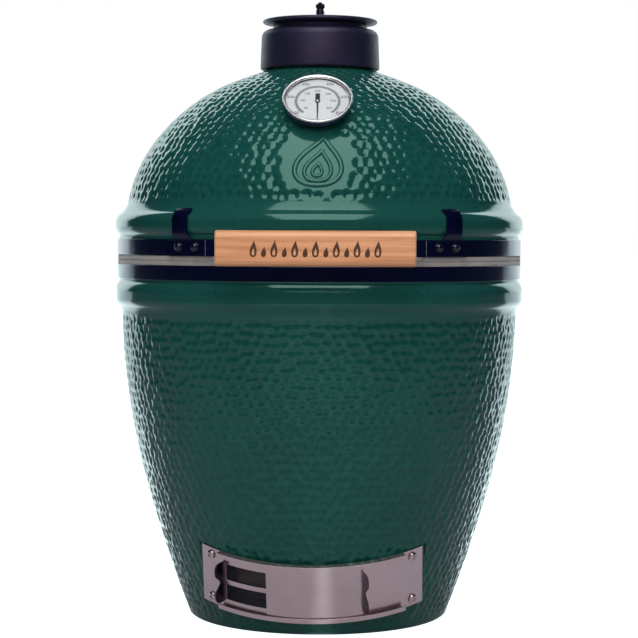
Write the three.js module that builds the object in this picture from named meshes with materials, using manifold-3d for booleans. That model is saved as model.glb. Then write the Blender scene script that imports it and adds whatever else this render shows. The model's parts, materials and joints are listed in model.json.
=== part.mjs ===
// A large ceramic kamado grill: an ovoid lower shell and a domed lid, both of thick glazed
// ceramic, clamped in steel bands that meet at a sprung hinge behind. The shell holds a firebox,
// a charcoal grate, a fire ring and a cooking grid. Air comes in through a sliding draft door low
// on the front, and leaves through a rotating damper on top of the lid.
// Millimetres, +Z up, the front faces -Y, and the origin is the middle of the shell's flat foot.
import * as THREE from "three";
import { mergeVertices } from "three/addons/utils/BufferGeometryUtils.js";
import Module from "manifold-3d";

const wasm = await Module();
wasm.setup();

// ---------------------------------------------------------------- driving dimensions
const DEG = Math.PI / 180;
const FACETS = 30; // round a full turn of the ceramic shells, bands and gaskets
const STEP = 360 / FACETS;
const FIT = 0.3; // gap between faces that touch
const SIDES = [["left", -1], ["right", 1]];

const FOOT_R = 157; // flat foot of the lower shell
const WALL = 21; // ceramic wall of the shells
const FLOOR_Z = 26; // inside floor of the lower shell
const RIDGE_R = 278; // the two raised ridges, the widest part of the body
const RECESS_R = 273.4; // ceramic under the steel bands
const RIM_IN_R = 247; // inside of both rims
const BASE_RIM_Z = 484;
const GASKET_T = 4.6;
const DOME_RIM_Z = BASE_RIM_Z + 2 * GASKET_T;
const CHIMNEY_R = 71;
const CHIMNEY_BORE_R = 54;
const CHIMNEY_TOP_Z = 788;

const BAND_R = RECESS_R + FIT;
const BAND_T = 1.8;
const LOWER_BAND_Z = [463.5, 482];
const UPPER_BAND_Z = [495.2, 516.2];

const HINGE_Y = 312;
const HINGE_Z = BASE_RIM_Z + GASKET_T;
const HINGE_PIN_R = 5;

const HANDLE_Y = -330;
const HANDLE_Z = 505.5;
const HANDLE_SIZE = [245, 28, 44];

const DRAFT_Z = 61; // middle of the draft door, on the shell's surface
const DRAFT_R = 199.2;
const DRAFT_TILT = 20 * DEG; // lean of the shell's surface there
const DRAFT_TURN = -2 * DEG; // the door sits a little to the left of the handle's middle
const DRAFT_CURVE_R = 208; // inside of the door frame's back plate, about its own leaning axis
const DRAFT_STEP = 5;

const DIAL_AT = 0.6; // how far up the dome's curve the thermometer stands
const DIAL_TILT = 44.3 * DEG; // its face looks up by this much
const DIAL_R = 45;

const DISC_R = 78.5;
const CAP_TOP_Z = 801.5; // top of the collar on the chimney
const STUD_TOP_Z = 840; // the highest point of the grill
const CAP_HINGE = { y: 89, z: 799.5 };

// ---------------------------------------------------------------- materials
const paint = (color, roughness, metalness) =>
  new THREE.MeshStandardMaterial({ color, roughness, metalness });
const GLAZE = paint(0x12402f, 0.15, 0.0);
const FIRECLAY = paint(0xb9a58c, 0.9, 0.0);
const FELT = paint(0x8c8378, 1.0, 0.0);
const BLACK_STEEL = paint(0x15151a, 0.35, 0.6);
const BOLT_STEEL = paint(0x3a3a3e, 0.3, 0.9);
const SPRING_STEEL = paint(0x6d6d70, 0.35, 0.9);
const STAINLESS = paint(0xb4a9a6, 0.28, 1.0);
const CAST_IRON = paint(0x26262a, 0.7, 0.7);
const CAP_BLACK = paint(0x17171c, 0.55, 0.4);
const WOOD = paint(0xd09a63, 0.5, 0.0);
const DIAL_WHITE = paint(0xf1f1ee, 0.6, 0.0);
const NEEDLE_BLACK = paint(0x111111, 0.5, 0.2);
const GLASS = paint(0xe8f0f2, 0.05, 0.0);
const SILICONE = paint(0x2a5a44, 0.8, 0.0);

// ---------------------------------------------------------------- shape helpers
const part = new THREE.Group();

function place(name, geometry, material, group = part) {
  const mesh = new THREE.Mesh(geometry, material);
  mesh.name = name;
  group.add(mesh);
  return mesh;
}

const point = (x, y) => new THREE.Vector2(x, y);
const points = (pairs) => pairs.map(([x, y]) => point(x, y));

// A profile of (radius, height) turned about Z. It runs up the outside and down the inside.
function turn(profile, facets = FACETS) {
  const closed = profile[0].x > 0 ? [...profile, profile[0]] : profile;
  return new THREE.LatheGeometry(closed, facets).rotateX(Math.PI / 2);
}

function box(x, y, z) {
  const size = [x, y, z].map(([low, high]) => high - low);
  const middle = [x, y, z].map(([low, high]) => (low + high) / 2);
  return new THREE.BoxGeometry(...size).translate(...middle);
}

// A round or polygonal rod between two points.
function rod(from, to, radius, facets = 16) {
  const a = new THREE.Vector3(...from);
  const along = new THREE.Vector3(...to).sub(a);
  const turned = new THREE.Quaternion().setFromUnitVectors(
    new THREE.Vector3(0, 1, 0),
    along.clone().normalize(),
  );
  const middle = a.add(along.clone().multiplyScalar(0.5));
  return new THREE.CylinderGeometry(radius, radius, along.length(), facets)
    .applyQuaternion(turned)
    .translate(middle.x, middle.y, middle.z);
}

// An outline in the X-Y plane, raised from z0 to z1.
function raise(outline, z0, z1) {
  const options = { depth: z1 - z0, bevelEnabled: false };
  return new THREE.ExtrudeGeometry(new THREE.Shape(outline), options).translate(0, 0, z0);
}

// An outline in the Y-Z plane, spread from x0 to x1.
function spread(outline, x0, x1) {
  return raise(outline, x0, x1).rotateY(Math.PI / 2).rotateX(Math.PI / 2);
}

// Part of a ring about Z. Angles are in degrees from -Y towards +X, and its corners fall on whole
// steps, so that nested rings stay clear of each other.
function ringPart(radii, angles, heights, step = STEP) {
  const stops = [angles[0]];
  for (let a = Math.ceil((angles[0] + 0.01) / step) * step; a < angles[1] - 0.01; a += step)
    stops.push(a);
  stops.push(angles[1]);
  const at = (r, a) => point(r * Math.sin(a * DEG), -r * Math.cos(a * DEG));
  const outer = stops.map((a) => at(radii[1], a));
  const inner = stops.map((a) => at(radii[0], a)).reverse();
  return raise([...outer, ...inner], ...heights);
}

// A wire of round section along a list of points.
function wire(route, radius, steps, sides = 6) {
  const section = [];
  for (let k = 0; k < sides; k++) {
    const a = (2 * Math.PI * k) / sides;
    section.push(point(radius * Math.cos(a), radius * Math.sin(a)));
  }
  const path = new THREE.CatmullRomCurve3(route);
  return new THREE.ExtrudeGeometry(new THREE.Shape(section), { steps, extrudePath: path });
}

function solid(geometry) {
  const bare = geometry.clone();
  bare.deleteAttribute("normal");
  bare.deleteAttribute("uv");
  const merged = mergeVertices(bare, 1e-3);
  const triVerts = new Uint32Array(merged.index.array);
  const vertProperties = merged.attributes.position.array;
  return new wasm.Manifold(new wasm.Mesh({ numProp: 3, vertProperties, triVerts }));
}

function surface(made) {
  const mesh = made.getMesh();
  const geometry = new THREE.BufferGeometry();
  geometry.setAttribute("position", new THREE.BufferAttribute(mesh.vertProperties, 3));
  geometry.setIndex(new THREE.BufferAttribute(mesh.triVerts, 1));
  const flat = geometry.toNonIndexed();
  flat.computeVertexNormals();
  return flat;
}

const join = (...pieces) => surface(pieces.map(solid).reduce((a, b) => a.add(b)));
const cut = (body, ...tools) =>
  surface(tools.map(solid).reduce((a, b) => a.subtract(b), solid(body)));

// ---------------------------------------------------------------- outlines of the shells
const BODY_CURVE = new THREE.CubicBezierCurve(
  point(176.5, 6.6), point(231, 147.4), point(265.6, 267.5), point(269.8, 419.7),
);
const DOME_CURVE = new THREE.CubicBezierCurve(
  point(262.4, 561.9), point(250.8, 638.9), point(186.9, 704.3), point(115.1, 731.4),
);

// The unit normal of a curve that runs upwards, pointing away from the axis.
function outward(curve, t) {
  const tangent = curve.getTangent(t);
  return point(tangent.y, -tangent.x);
}

// Points of a curve, moved inwards through the wall.
function inside(curve, count) {
  const found = [];
  for (let k = 0; k <= count; k++) {
    const t = k / count;
    found.push(curve.getPoint(t).addScaledVector(outward(curve, t), -WALL));
  }
  return found;
}

// ---------------------------------------------------------------- ceramic shells
function baseShellProfile() {
  const foot = new THREE.QuadraticBezierCurve(point(FOOT_R, 0), point(171, 0), BODY_CURVE.v0);
  const ridge = points([
    [272.3, 425.5], [275.5, 429], [RIDGE_R, 433.5], [RIDGE_R, 450],
    [275.8, 456.5], [272.8, 460], [RECESS_R, LOWER_BAND_Z[0]],
  ]);
  const rim = points([[RECESS_R, BASE_RIM_Z], [RIM_IN_R, BASE_RIM_Z]]);
  const inner = inside(BODY_CURVE, 5).filter((p) => p.y > FLOOR_Z + 8).reverse();
  const floorR = inner[inner.length - 1].x - 6;
  const floor = points([[floorR, FLOOR_Z], [0, FLOOR_Z]]);
  return [
    point(0, 0), ...foot.getPoints(2).slice(0, -1), ...BODY_CURVE.getPoints(6),
    ...ridge, ...rim, ...inner, ...floor,
  ];
}

function domeShellProfile() {
  const ridge = points([
    [RECESS_R, UPPER_BAND_Z[1]], [272.8, 521], [276, 524.5], [RIDGE_R, 529],
    [RIDGE_R, 541.5], [274.5, 548.5], [268.5, 552.2],
  ]);
  const shoulder = new THREE.QuadraticBezierCurve(
    DOME_CURVE.v3, point(86, 742.5), point(CHIMNEY_R + 1, 746.6),
  );
  const chimney = points([
    [CHIMNEY_R, CHIMNEY_TOP_Z], [CHIMNEY_BORE_R, CHIMNEY_TOP_Z], [CHIMNEY_BORE_R, 732],
  ]);
  const inner = inside(DOME_CURVE, 5).reverse();
  return [
    point(RIM_IN_R, DOME_RIM_Z), point(RECESS_R, DOME_RIM_Z), ...ridge,
    ...DOME_CURVE.getPoints(6), ...shoulder.getPoints(2).slice(1), ...chimney,
    point(70, 716), ...inner, point(RIM_IN_R, 535),
  ];
}

// The draft door's parts lie on a cylinder whose axis leans with the shell's surface.
const draftTurn = new THREE.Group();
draftTurn.rotation.z = DRAFT_TURN;
part.add(draftTurn);
const draftGroup = new THREE.Group();
draftGroup.rotation.x = DRAFT_TILT;
draftGroup.position.set(
  0,
  -DRAFT_R + DRAFT_CURVE_R * Math.cos(DRAFT_TILT),
  DRAFT_Z + DRAFT_CURVE_R * Math.sin(DRAFT_TILT),
);
draftTurn.add(draftGroup);
part.updateMatrixWorld(true);

const draftPart = (radii, angles, heights) =>
  ringPart(radii.map((r) => DRAFT_CURVE_R + r), angles, heights, DRAFT_STEP);

// The thermometer's parts stand on the dome's surface, with Z out through the dial.
const dialFoot = DOME_CURVE.getPoint(DIAL_AT);
const dialGroup = new THREE.Group();
dialGroup.rotation.x = Math.PI / 2 - DIAL_TILT;
dialGroup.position.set(0, -dialFoot.x, dialFoot.y);
part.add(dialGroup);
part.updateMatrixWorld(true);

function shells() {
  const inDoor = (...shape) => draftPart(...shape).applyMatrix4(draftGroup.matrixWorld);
  const doorway = inDoor([-60, 30], [-33, 33], [-30, 30]);
  const seat = inDoor([-FIT, 40], [-45, 45], [-43.5, 43.5]);
  place("base_shell", cut(turn(baseShellProfile()), doorway, seat), GLAZE);
  const probeHole = rod([0, 0, -60], [0, 0, 30], 5.5, 10).applyMatrix4(dialGroup.matrixWorld);
  place("dome_shell", cut(turn(domeShellProfile()), probeHole), GLAZE);
  const felt = (z0, z1) =>
    turn(points([[RIM_IN_R, z0], [RECESS_R, z0], [RECESS_R, z1], [RIM_IN_R, z1]]));
  place("base_gasket", felt(BASE_RIM_Z + FIT, HINGE_Z - FIT / 2), FELT);
  place("dome_gasket", felt(HINGE_Z + FIT / 2, DOME_RIM_Z - FIT), FELT);
}

// ---------------------------------------------------------------- inside the lower shell
const FIREBOX_TOP_Z = 300;
const GRATE_LEDGE_Z = 80;
const FIRE_RING_TOP_Z = 470;

function firebox() {
  const tub = turn(
    points([
      [114, FLOOR_Z + FIT], [130, FLOOR_Z + FIT], [133, 45], [164, 64], [199, 170],
      [224, FIREBOX_TOP_Z], [206, FIREBOX_TOP_Z], [181, 170], [149, 88],
      [112, GRATE_LEDGE_Z], [84, GRATE_LEDGE_Z], [84, 64], [116, 60],
    ]), 28,
  );
  const ashDoor = box([-60, 60], [-200, -90], [20, 58]);
  const airHoles = [];
  for (let k = 0; k < 8; k++) {
    const a = (k + 0.5) * 45 * DEG;
    const out = (r, z) => [r * Math.sin(a), -r * Math.cos(a), z];
    airHoles.push(rod(out(120, 118), out(220, 118), 9, 8));
  }
  place("firebox", cut(tub, ashDoor, ...airHoles), FIRECLAY);
}

function fireRing() {
  const ring = points([
    [207, FIREBOX_TOP_Z + FIT], [225, FIREBOX_TOP_Z + FIT],
    [239, FIRE_RING_TOP_Z], [217, FIRE_RING_TOP_Z],
  ]);
  place("fire_ring", turn(ring, 28), FIRECLAY);
}

function charcoalGrate() {
  const z = GRATE_LEDGE_Z + FIT;
  const disc = turn(points([[0, z], [106, z], [106, z + 10], [0, z + 10]]), 28);
  const holes = [rod([0, 0, z - 5], [0, 0, z + 15], 10, 6)];
  for (const [count, r] of [[6, 36], [12, 78]])
    for (let k = 0; k < count; k++) {
      const a = (2 * Math.PI * k) / count;
      const at = [r * Math.cos(a), r * Math.sin(a)];
      holes.push(rod([...at, z - 5], [...at, z + 15], 10, 6));
    }
  place("charcoal_grate", cut(disc, ...holes), CAST_IRON);
}

function cookingGrid() {
  const GRID_R = 226;
  const RING_WIRE_R = 3;
  const z = FIRE_RING_TOP_Z + FIT + RING_WIRE_R;
  const ring = new THREE.TorusGeometry(GRID_R, RING_WIRE_R, 4, 32).translate(0, 0, z);
  const bars = [];
  const GAP = 28;
  for (let k = -7; k <= 7; k++) {
    const x = k * GAP;
    const half = Math.sqrt((GRID_R - 2) ** 2 - x * x);
    bars.push(rod([x, -half, z], [x, half, z], 2.6, 4));
  }
  for (const y of [-105, 105]) {
    const half = Math.sqrt((GRID_R - 2) ** 2 - y * y);
    bars.push(rod([-half, y, z], [half, y, z], 2.9, 4));
  }
  place("cooking_grid", join(ring, ...bars), STAINLESS);
}

// ---------------------------------------------------------------- steel bands and rear hinge
const LOWER_ARM_X = [33, 36];
const UPPER_ARM_X = [28, 31];
const LOWER_EAR_X = [LOWER_ARM_X[1] + FIT, LOWER_ARM_X[1] + 2.3];
const UPPER_EAR_X = [UPPER_ARM_X[1] + FIT, UPPER_ARM_X[1] + 2.3];
const LOWER_BOLT = { y: 291, z: 472.7 };
const UPPER_BOLT = { y: 288, z: 505.7 };
const BOLT_R = 3;
const HOLE_R = 3.3;

const mirrored = ([low, high]) => [-high, -low];

// A strap with a gap behind, whose two ends turn out into ears that a bolt passes through.
function band(name, heights, earX, bolt) {
  const end = 180 - Math.asin(earX[0] / BAND_R) / DEG;
  const strap = ringPart([BAND_R, BAND_R + BAND_T], [-end, end], heights);
  const ear = (x) => box(x, [BAND_R - 1.5, bolt.y + 8], heights);
  const hole = rod([-60, bolt.y, bolt.z], [60, bolt.y, bolt.z], HOLE_R, 10);
  const whole = join(strap, ear(earX), ear(mirrored(earX)));
  place(name, cut(whole, hole), BLACK_STEEL);
}

// Points of an arc about the hinge pin, as (y, z), anticlockwise in degrees from +Y.
function pinArc(radius, from, to, count) {
  const arc = [];
  for (let k = 0; k <= count; k++) {
    const a = (from + ((to - from) * k) / count) * DEG;
    arc.push(point(HINGE_Y + radius * Math.cos(a), HINGE_Z + radius * Math.sin(a)));
  }
  return arc;
}

function hingeBracket(name, armX, plate, arm, bolt) {
  const pinHole = rod([-60, HINGE_Y, HINGE_Z], [60, HINGE_Y, HINGE_Z], HINGE_PIN_R + FIT, 16);
  const boltHole = rod([-60, bolt.y, bolt.z], [60, bolt.y, bolt.z], HOLE_R, 10);
  const whole = join(plate, spread(arm, ...armX), spread(arm, ...mirrored(armX)));
  place(name, cut(whole, pinHole, boltHole), BLACK_STEEL);
}

function hingeBrackets() {
  const LOWER_PLATE = { y: [279.5, 282.5], z: [441, 479] };
  const lowerArm = [
    point(290, 441), ...pinArc(13, -60, 175, 8),
    point(296, 481), point(LOWER_PLATE.y[0], 479), point(LOWER_PLATE.y[0], 441),
  ];
  const lowerX = [-LOWER_ARM_X[1], LOWER_ARM_X[1]];
  const lowerPlate = box(lowerX, LOWER_PLATE.y, LOWER_PLATE.z);
  hingeBracket("lower_hinge_bracket", LOWER_ARM_X, lowerPlate, lowerArm, LOWER_BOLT);
  const UPPER_PLATE = { y: [276, 279], z: [495, 517] };
  const upperArm = [
    point(UPPER_PLATE.y[0], 495), ...pinArc(12, -120, 60, 6),
    point(296, 517), point(UPPER_PLATE.y[0], 517),
  ];
  const upperX = [-UPPER_ARM_X[1], UPPER_ARM_X[1]];
  const upperPlate = box(upperX, UPPER_PLATE.y, UPPER_PLATE.z);
  hingeBracket("upper_hinge_bracket", UPPER_ARM_X, upperPlate, upperArm, UPPER_BOLT);
}

function hexBolt(name, from, to, radius, headR, headLength) {
  const a = new THREE.Vector3(...from);
  const back = a.clone().sub(new THREE.Vector3(...to)).setLength(headLength).add(a);
  const head = rod(back.toArray(), from, headR, 6);
  place(name, join(head, rod(back.toArray(), to, radius, 10)), BOLT_STEEL);
}

function hexNut(name, from, to, boreR, outerR) {
  const a = new THREE.Vector3(...from);
  const b = new THREE.Vector3(...to);
  const reach = b.clone().sub(a);
  const bore = rod(a.clone().sub(reach).toArray(), b.clone().add(reach).toArray(), boreR, 10);
  place(name, cut(rod(from, to, outerR, 6), bore), BOLT_STEEL);
}

function bandBolts() {
  const NUT_T = 5;
  const HEAD_T = 4;
  const HEX_R = 5.6;
  const SETS = [
    ["lower_band", LOWER_BOLT, LOWER_EAR_X[1], LOWER_ARM_X[0]],
    ["upper_band", UPPER_BOLT, UPPER_EAR_X[1], UPPER_ARM_X[0]],
  ];
  for (const [name, bolt, earOut, armIn] of SETS)
    for (const [side, s] of SIDES) {
      const at = (x) => [s * x, bolt.y, bolt.z];
      const nutEnd = armIn - FIT - NUT_T;
      const bolted = [at(earOut + FIT), at(nutEnd - 1)];
      hexBolt(`${name}_bolt_${side}`, ...bolted, BOLT_R, HEX_R, HEAD_T);
      hexNut(`${name}_nut_${side}`, at(nutEnd), at(armIn - FIT), BOLT_R + FIT / 2, HEX_R);
    }
}

function hingePin() {
  const at = (x) => [x, HINGE_Y, HINGE_Z];
  const arm = LOWER_ARM_X[1] + FIT;
  hexBolt("hinge_pin", at(-arm), at(arm + 9), HINGE_PIN_R, 9, 6);
  hexNut("hinge_pin_nut", at(arm), at(arm + 7), HINGE_PIN_R + FIT / 2, 9);
  const reach = UPPER_ARM_X[0] - FIT;
  const sleeve = rod(at(-reach), at(reach), 7.5, 16);
  const bore = rod(at(-reach - 5), at(reach + 5), HINGE_PIN_R + FIT, 16);
  place("hinge_spacer", cut(sleeve, bore), BOLT_STEEL);
}

// A torsion spring on the pin: one leg reaches to the lower bracket, the other to the upper one.
function hingeSpring(name, side) {
  const COIL_R = 11;
  const WIRE_R = 1.8;
  const TURNS = 3.5;
  const NEAR_X = 6;
  const FAR_X = 24;
  const PER_TURN = 10;
  const route = [new THREE.Vector3(side * FAR_X, 285, 474)];
  route.push(new THREE.Vector3(side * FAR_X, 298, 476));
  for (let k = 0; k <= TURNS * PER_TURN; k++) {
    const a = (-90 + (360 * k) / PER_TURN) * DEG;
    const x = FAR_X + ((NEAR_X - FAR_X) * k) / (TURNS * PER_TURN);
    const y = HINGE_Y + COIL_R * Math.cos(a);
    route.push(new THREE.Vector3(side * x, y, HINGE_Z + COIL_R * Math.sin(a)));
  }
  route.push(new THREE.Vector3(side * NEAR_X, 297, 501.5));
  route.push(new THREE.Vector3(side * NEAR_X, 281, 504));
  place(name, wire(route, WIRE_R, 44, 5), SPRING_STEEL);
}

// ---------------------------------------------------------------- handle
const BRACKET_T = 2.5;
const BRACKET_Z = [495.5, 515.7];
const RIVET_Z = 506.2;
const BRACKET_BOLTS = { outer: 39.3, inner: 33.8 }; // degrees round from the front
const ARM_X = 133.5;
const SCREW_X = 104;
const SCREW_Z = HANDLE_Z - 1;

function handleBracket(name, side) {
  const r = BAND_R + BAND_T + FIT;
  const angles = [28.6, 43];
  const span = side > 0 ? angles : mirrored(angles);
  const plate = ringPart([r, r + BRACKET_T], span, BRACKET_Z, STEP / 2);
  // The hook stands over the dome's ridge and bends in above it, as (distance out, height).
  const hook = points([
    [-278, BRACKET_Z[0]], [-275.9, BRACKET_Z[0]], [-275.9, 519], [-278.6, 523], [-278.6, 543],
    [-275, 549.7], [-268.9, 553.6], [-270.3, 555.9], [-276.9, 551.8], [-281.1, 544],
    [-281.1, 521], [-278.4, 517],
  ]);
  const HOOK_HALF = 12.3;
  const hookAngle = side * 37.7 * DEG;
  const stands = spread(hook, -HOOK_HALF, HOOK_HALF).rotateZ(hookAngle);
  const x = [ARM_X, ARM_X + BRACKET_T];
  const backY = HANDLE_Y + HANDLE_SIZE[1] / 2 + FIT;
  const arm = box(side > 0 ? x : mirrored(x), [backY, -241.5], BRACKET_Z);
  const flangeX = [82, ARM_X + BRACKET_T];
  const flangeY = [backY, backY + BRACKET_T];
  const flange = box(side > 0 ? flangeX : mirrored(flangeX), flangeY, BRACKET_Z);
  const screwAt = (y) => [side * SCREW_X, y, SCREW_Z];
  const screwHole = rod(screwAt(backY - 5), screwAt(backY + 9), 2.6, 8);
  const boltHoles = Object.values(BRACKET_BOLTS).map((a) => bandRod(side * a, 268, 290, 2.9));
  place(name, cut(join(plate, stands, arm, flange), screwHole, ...boltHoles), BLACK_STEEL);
}

// A rod that runs straight out from the grill's axis, at the height of the bracket bolts.
function bandRod(angle, r0, r1, radius, facets = 8) {
  const a = angle * DEG;
  const z = RIVET_Z;
  const at = (r) => [r * Math.sin(a), -r * Math.cos(a), z];
  return rod(at(r0), at(r1), radius, facets);
}

// The button-headed rivets only reach the strap, because the ceramic lies right behind it.
function bracketRivets() {
  const HEAD_R = 6.2;
  const out = BAND_R + BAND_T + FIT + BRACKET_T + FIT;
  for (const [side, s] of SIDES)
    for (const [where, angle] of Object.entries(BRACKET_BOLTS)) {
      const shank = rod([0, 0, -BRACKET_T - 0.2], [0, 0, 0.5], 2.6, 8);
      const dome = turn(points([[0, 0], [HEAD_R, 0], [HEAD_R - 0.4, 2], [4, 4], [0, 5]]), 12);
      const rivet = join(shank, dome).rotateX(Math.PI / 2);
      rivet.translate(0, -out, RIVET_Z).rotateZ(s * angle * DEG);
      place(`bracket_rivet_${side}_${where}`, rivet, BOLT_STEEL);
    }
}

function handle() {
  const [length, depth, height] = HANDLE_SIZE;
  const R = 9; // rounded long edges
  const BEVEL = 2;
  const w = depth / 2 - BEVEL;
  const h = height / 2 - BEVEL;
  const outline = new THREE.Shape();
  for (const [cx, cy, from] of [[1, 1, 0], [-1, 1, 90], [-1, -1, 180], [1, -1, 270]])
    for (let k = 0; k <= 3; k++) {
      const a = (from + 30 * k) * DEG;
      const y = cx * (w - R + BEVEL) + (R - BEVEL) * Math.cos(a);
      const z = cy * (h - R + BEVEL) + (R - BEVEL) * Math.sin(a);
      if (cx === 1 && cy === 1 && k === 0) outline.moveTo(y, z);
      else outline.lineTo(y, z);
    }
  const options = {
    depth: length - 2 * BEVEL, bevelThickness: BEVEL, bevelSize: BEVEL, bevelSegments: 1,
  };
  const bar = new THREE.ExtrudeGeometry(outline, options)
    .translate(0, 0, BEVEL - length / 2)
    .rotateY(Math.PI / 2)
    .rotateX(Math.PI / 2)
    .translate(0, HANDLE_Y, HANDLE_Z);
  const backY = HANDLE_Y + depth / 2;
  const pilots = [-SCREW_X, SCREW_X].map((x) =>
    rod([x, backY - 18, SCREW_Z], [x, backY + 5, SCREW_Z], 2.3, 8));
  place("handle_bar", cut(bar, ...pilots), WOOD);
  for (const [side, s] of SIDES) {
    handleBracket(`handle_bracket_${side}`, s);
    const x = s * SCREW_X;
    const headY = backY + FIT + BRACKET_T + FIT;
    const head = rod([x, headY, SCREW_Z], [x, headY + 3, SCREW_Z], 5, 10);
    const shank = rod([x, headY + 1, SCREW_Z], [x, backY - 16, SCREW_Z], 2, 8);
    place(`handle_screw_${side}`, join(head, shank), BOLT_STEEL);
  }
  bracketRivets();
}

// ---------------------------------------------------------------- dial thermometer
function thermometer() {
  const cup = points([
    [0, 3], [34, 3], [38.5, 6], [43.6, 12], [44, 16], [DIAL_R, 17.5], [DIAL_R, 20], [44, 21],
    [40.8, 20], [40.8, 17.3], [42.4, 17.3], [42.4, 12.5], [37.2, 6.7], [33.5, 4.5], [0, 4.5],
  ]);
  place("thermometer_case", turn(cup, 24), STAINLESS, dialGroup);
  const disc = (r, z0, z1, facets) => turn(points([[0, z0], [r, z0], [r, z1], [0, z1]]), facets);
  place("thermometer_dial", disc(41.8, 12.8, 13.8, 24), DIAL_WHITE, dialGroup);
  place("thermometer_lens", disc(41.8, 15.5, 17, 24), GLASS, dialGroup);
  const needle = points([
    [-0.5, -33], [0.5, -33], [1.1, 0], [2.2, 3], [2.2, 14], [-2.2, 14], [-2.2, 3], [-1.1, 0],
  ]);
  const hub = disc(3.4, 14.1, 15.2, 12);
  place("thermometer_needle", join(raise(needle, 14.2, 15), hub), NEEDLE_BLACK, dialGroup);
  const probe = points([
    [0, -72], [2.2, -70], [3.2, -66], [3.2, FIT], [9, FIT], [9, 2.7], [0, 2.7],
  ]);
  place("thermometer_probe", turn(probe, 12), STAINLESS, dialGroup);
  const clip = points([[3.5, -26.5], [11, -26.5], [11, -25], [3.5, -25]]);
  place("thermometer_clip", turn(clip, 12), SPRING_STEEL, dialGroup);
}

// ---------------------------------------------------------------- chimney cap and damper
const VENTS = 5;
const VENT_HALF = 17; // half the angle of each fan-shaped vent

function fan(middle, z0, z1) {
  return ringPart([18, 52], [middle - VENT_HALF, middle + VENT_HALF], [z0, z1], 12);
}

function chimneyCap() {
  const collar = turn(points([
    [74, 748.5], [80, 747.5], [81.4, 749.5], [81, 765], [79.8, 793.5], [77.6, 798.5],
    [73, CAP_TOP_Z], [57, CAP_TOP_Z], [57, 793], [74, 793],
  ]), 26);
  const EAR_X = [12.5, 17.5];
  const ear = (x) =>
    join(
      box(x, [77, CAP_HINGE.y], [792, 806]),
      rod([x[0], CAP_HINGE.y, CAP_HINGE.z], [x[1], CAP_HINGE.y, CAP_HINGE.z], 6.5, 14),
    );
  const pinHole = rod([-30, CAP_HINGE.y, CAP_HINGE.z], [30, CAP_HINGE.y, CAP_HINGE.z], 2.7, 10);
  const eared = join(collar, ear(EAR_X), ear(mirrored(EAR_X)));
  place("cap_collar", cut(eared, pinHole), CAP_BLACK);
  const z = CHIMNEY_TOP_Z;
  const seal = points([[57, z + FIT], [70, z + FIT], [70, 793 - FIT], [57, 793 - FIT]]);
  place("cap_gasket", turn(seal, 26), FELT);

  const LID_R = 64;
  const lidZ = [CAP_TOP_Z + FIT, 809.5];
  const disc = turn(points([[0, lidZ[0]], [LID_R, lidZ[0]], [LID_R, lidZ[1]], [0, lidZ[1]]]), 26);
  const tongue = box([-12, 12], [60, CAP_HINGE.y], [803, lidZ[1] - 1.5]);
  const knuckle = rod([-12, CAP_HINGE.y, CAP_HINGE.z], [12, CAP_HINGE.y, CAP_HINGE.z], 6, 14);
  const studHole = rod([0, 0, 790], [0, 0, 820], 3.3, 12);
  const vents = [];
  for (let k = 0; k < VENTS; k++) vents.push(fan(k * 72, 790, 820));
  place("cap_lid", cut(join(disc, tongue, knuckle), pinHole, studHole, ...vents), CAP_BLACK);

  const pinTo = (x) => [x, CAP_HINGE.y, CAP_HINGE.z];
  const pin = join(
    rod(pinTo(-22), pinTo(22), 2.4, 10),
    rod(pinTo(-22), pinTo(-17.5 - FIT), 4, 10),
    rod(pinTo(17.5 + FIT), pinTo(22), 4, 10),
  );
  place("cap_hinge_pin", pin, BOLT_STEEL);
}

function damper() {
  const z0 = 809.8;
  const z1 = 816;
  const disc = turn(points([
    [3.4, z0], [74, z0], [77.4, z0 + 1], [DISC_R, z0 + 3], [77.4, z1 - 1], [74, z1], [3.4, z1],
  ]), 28);
  const vents = [];
  for (let k = 0; k < VENTS; k++) vents.push(fan(k * 72 + 36, z0 - 10, z1 + 10));
  const lever = box([-4, 4], [70, 116], [z0 + 1.2, z0 + 5]);
  place("damper_disc", cut(join(disc, lever), ...vents), CAP_BLACK);
  const sleeve = box([-7, 7], [94, 119], [z0 - 1.5, z0 + 7.7]);
  const pocket = box([-4.3, 4.3], [90, 116.3], [z0 + 0.9, z0 + 5.3]);
  place("damper_grip", cut(sleeve, pocket), SILICONE);

  const head = rod([0, 0, 796.5], [0, 0, CAP_TOP_Z], 6.5, 6);
  const shank = rod([0, 0, 797], [0, 0, STUD_TOP_Z], 3, 12);
  place("damper_stud", join(head, shank), BOLT_STEEL);
  hexNut("damper_nut", [0, 0, 831.5], [0, 0, 838], 3.2, 6);
  const COIL_R = 4.7;
  const TURNS = 3.5;
  const PER_TURN = 10;
  const route = [];
  for (let k = 0; k <= TURNS * PER_TURN; k++) {
    const a = (2 * Math.PI * k) / PER_TURN;
    const z = 817.6 + (12.4 * k) / (TURNS * PER_TURN);
    route.push(new THREE.Vector3(COIL_R * Math.cos(a), COIL_R * Math.sin(a), z));
  }
  place("damper_spring", wire(route, 1.1, 34, 5), SPRING_STEEL);
}

// ---------------------------------------------------------------- draft door
const PLATE = [0, 1.5]; // distances out from the back of the frame
const GAUZE = [1.9, 2.3];
const SCREEN = [2.7, 3.7];
const SLIDER = [4.4, 5.6];
const LIP = [6.7, 8.2];
const PLATE_END = 43.4; // degrees to each side
const RAIL_END = 34.6;
const SHEET_T = 1.5;
const CHANNEL = 39.5; // half the height between the rails
const WINDOW_H = 28; // half the height of the way in
const SCREW_AT = { angle: 38.7, height: 31 };
const SLIDER_ENDS = [-15.6, 18.7];
const SCREEN_ENDS = [-32.9, 1.8];
const WAY_IN = [-31.8, 0.5];

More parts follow.
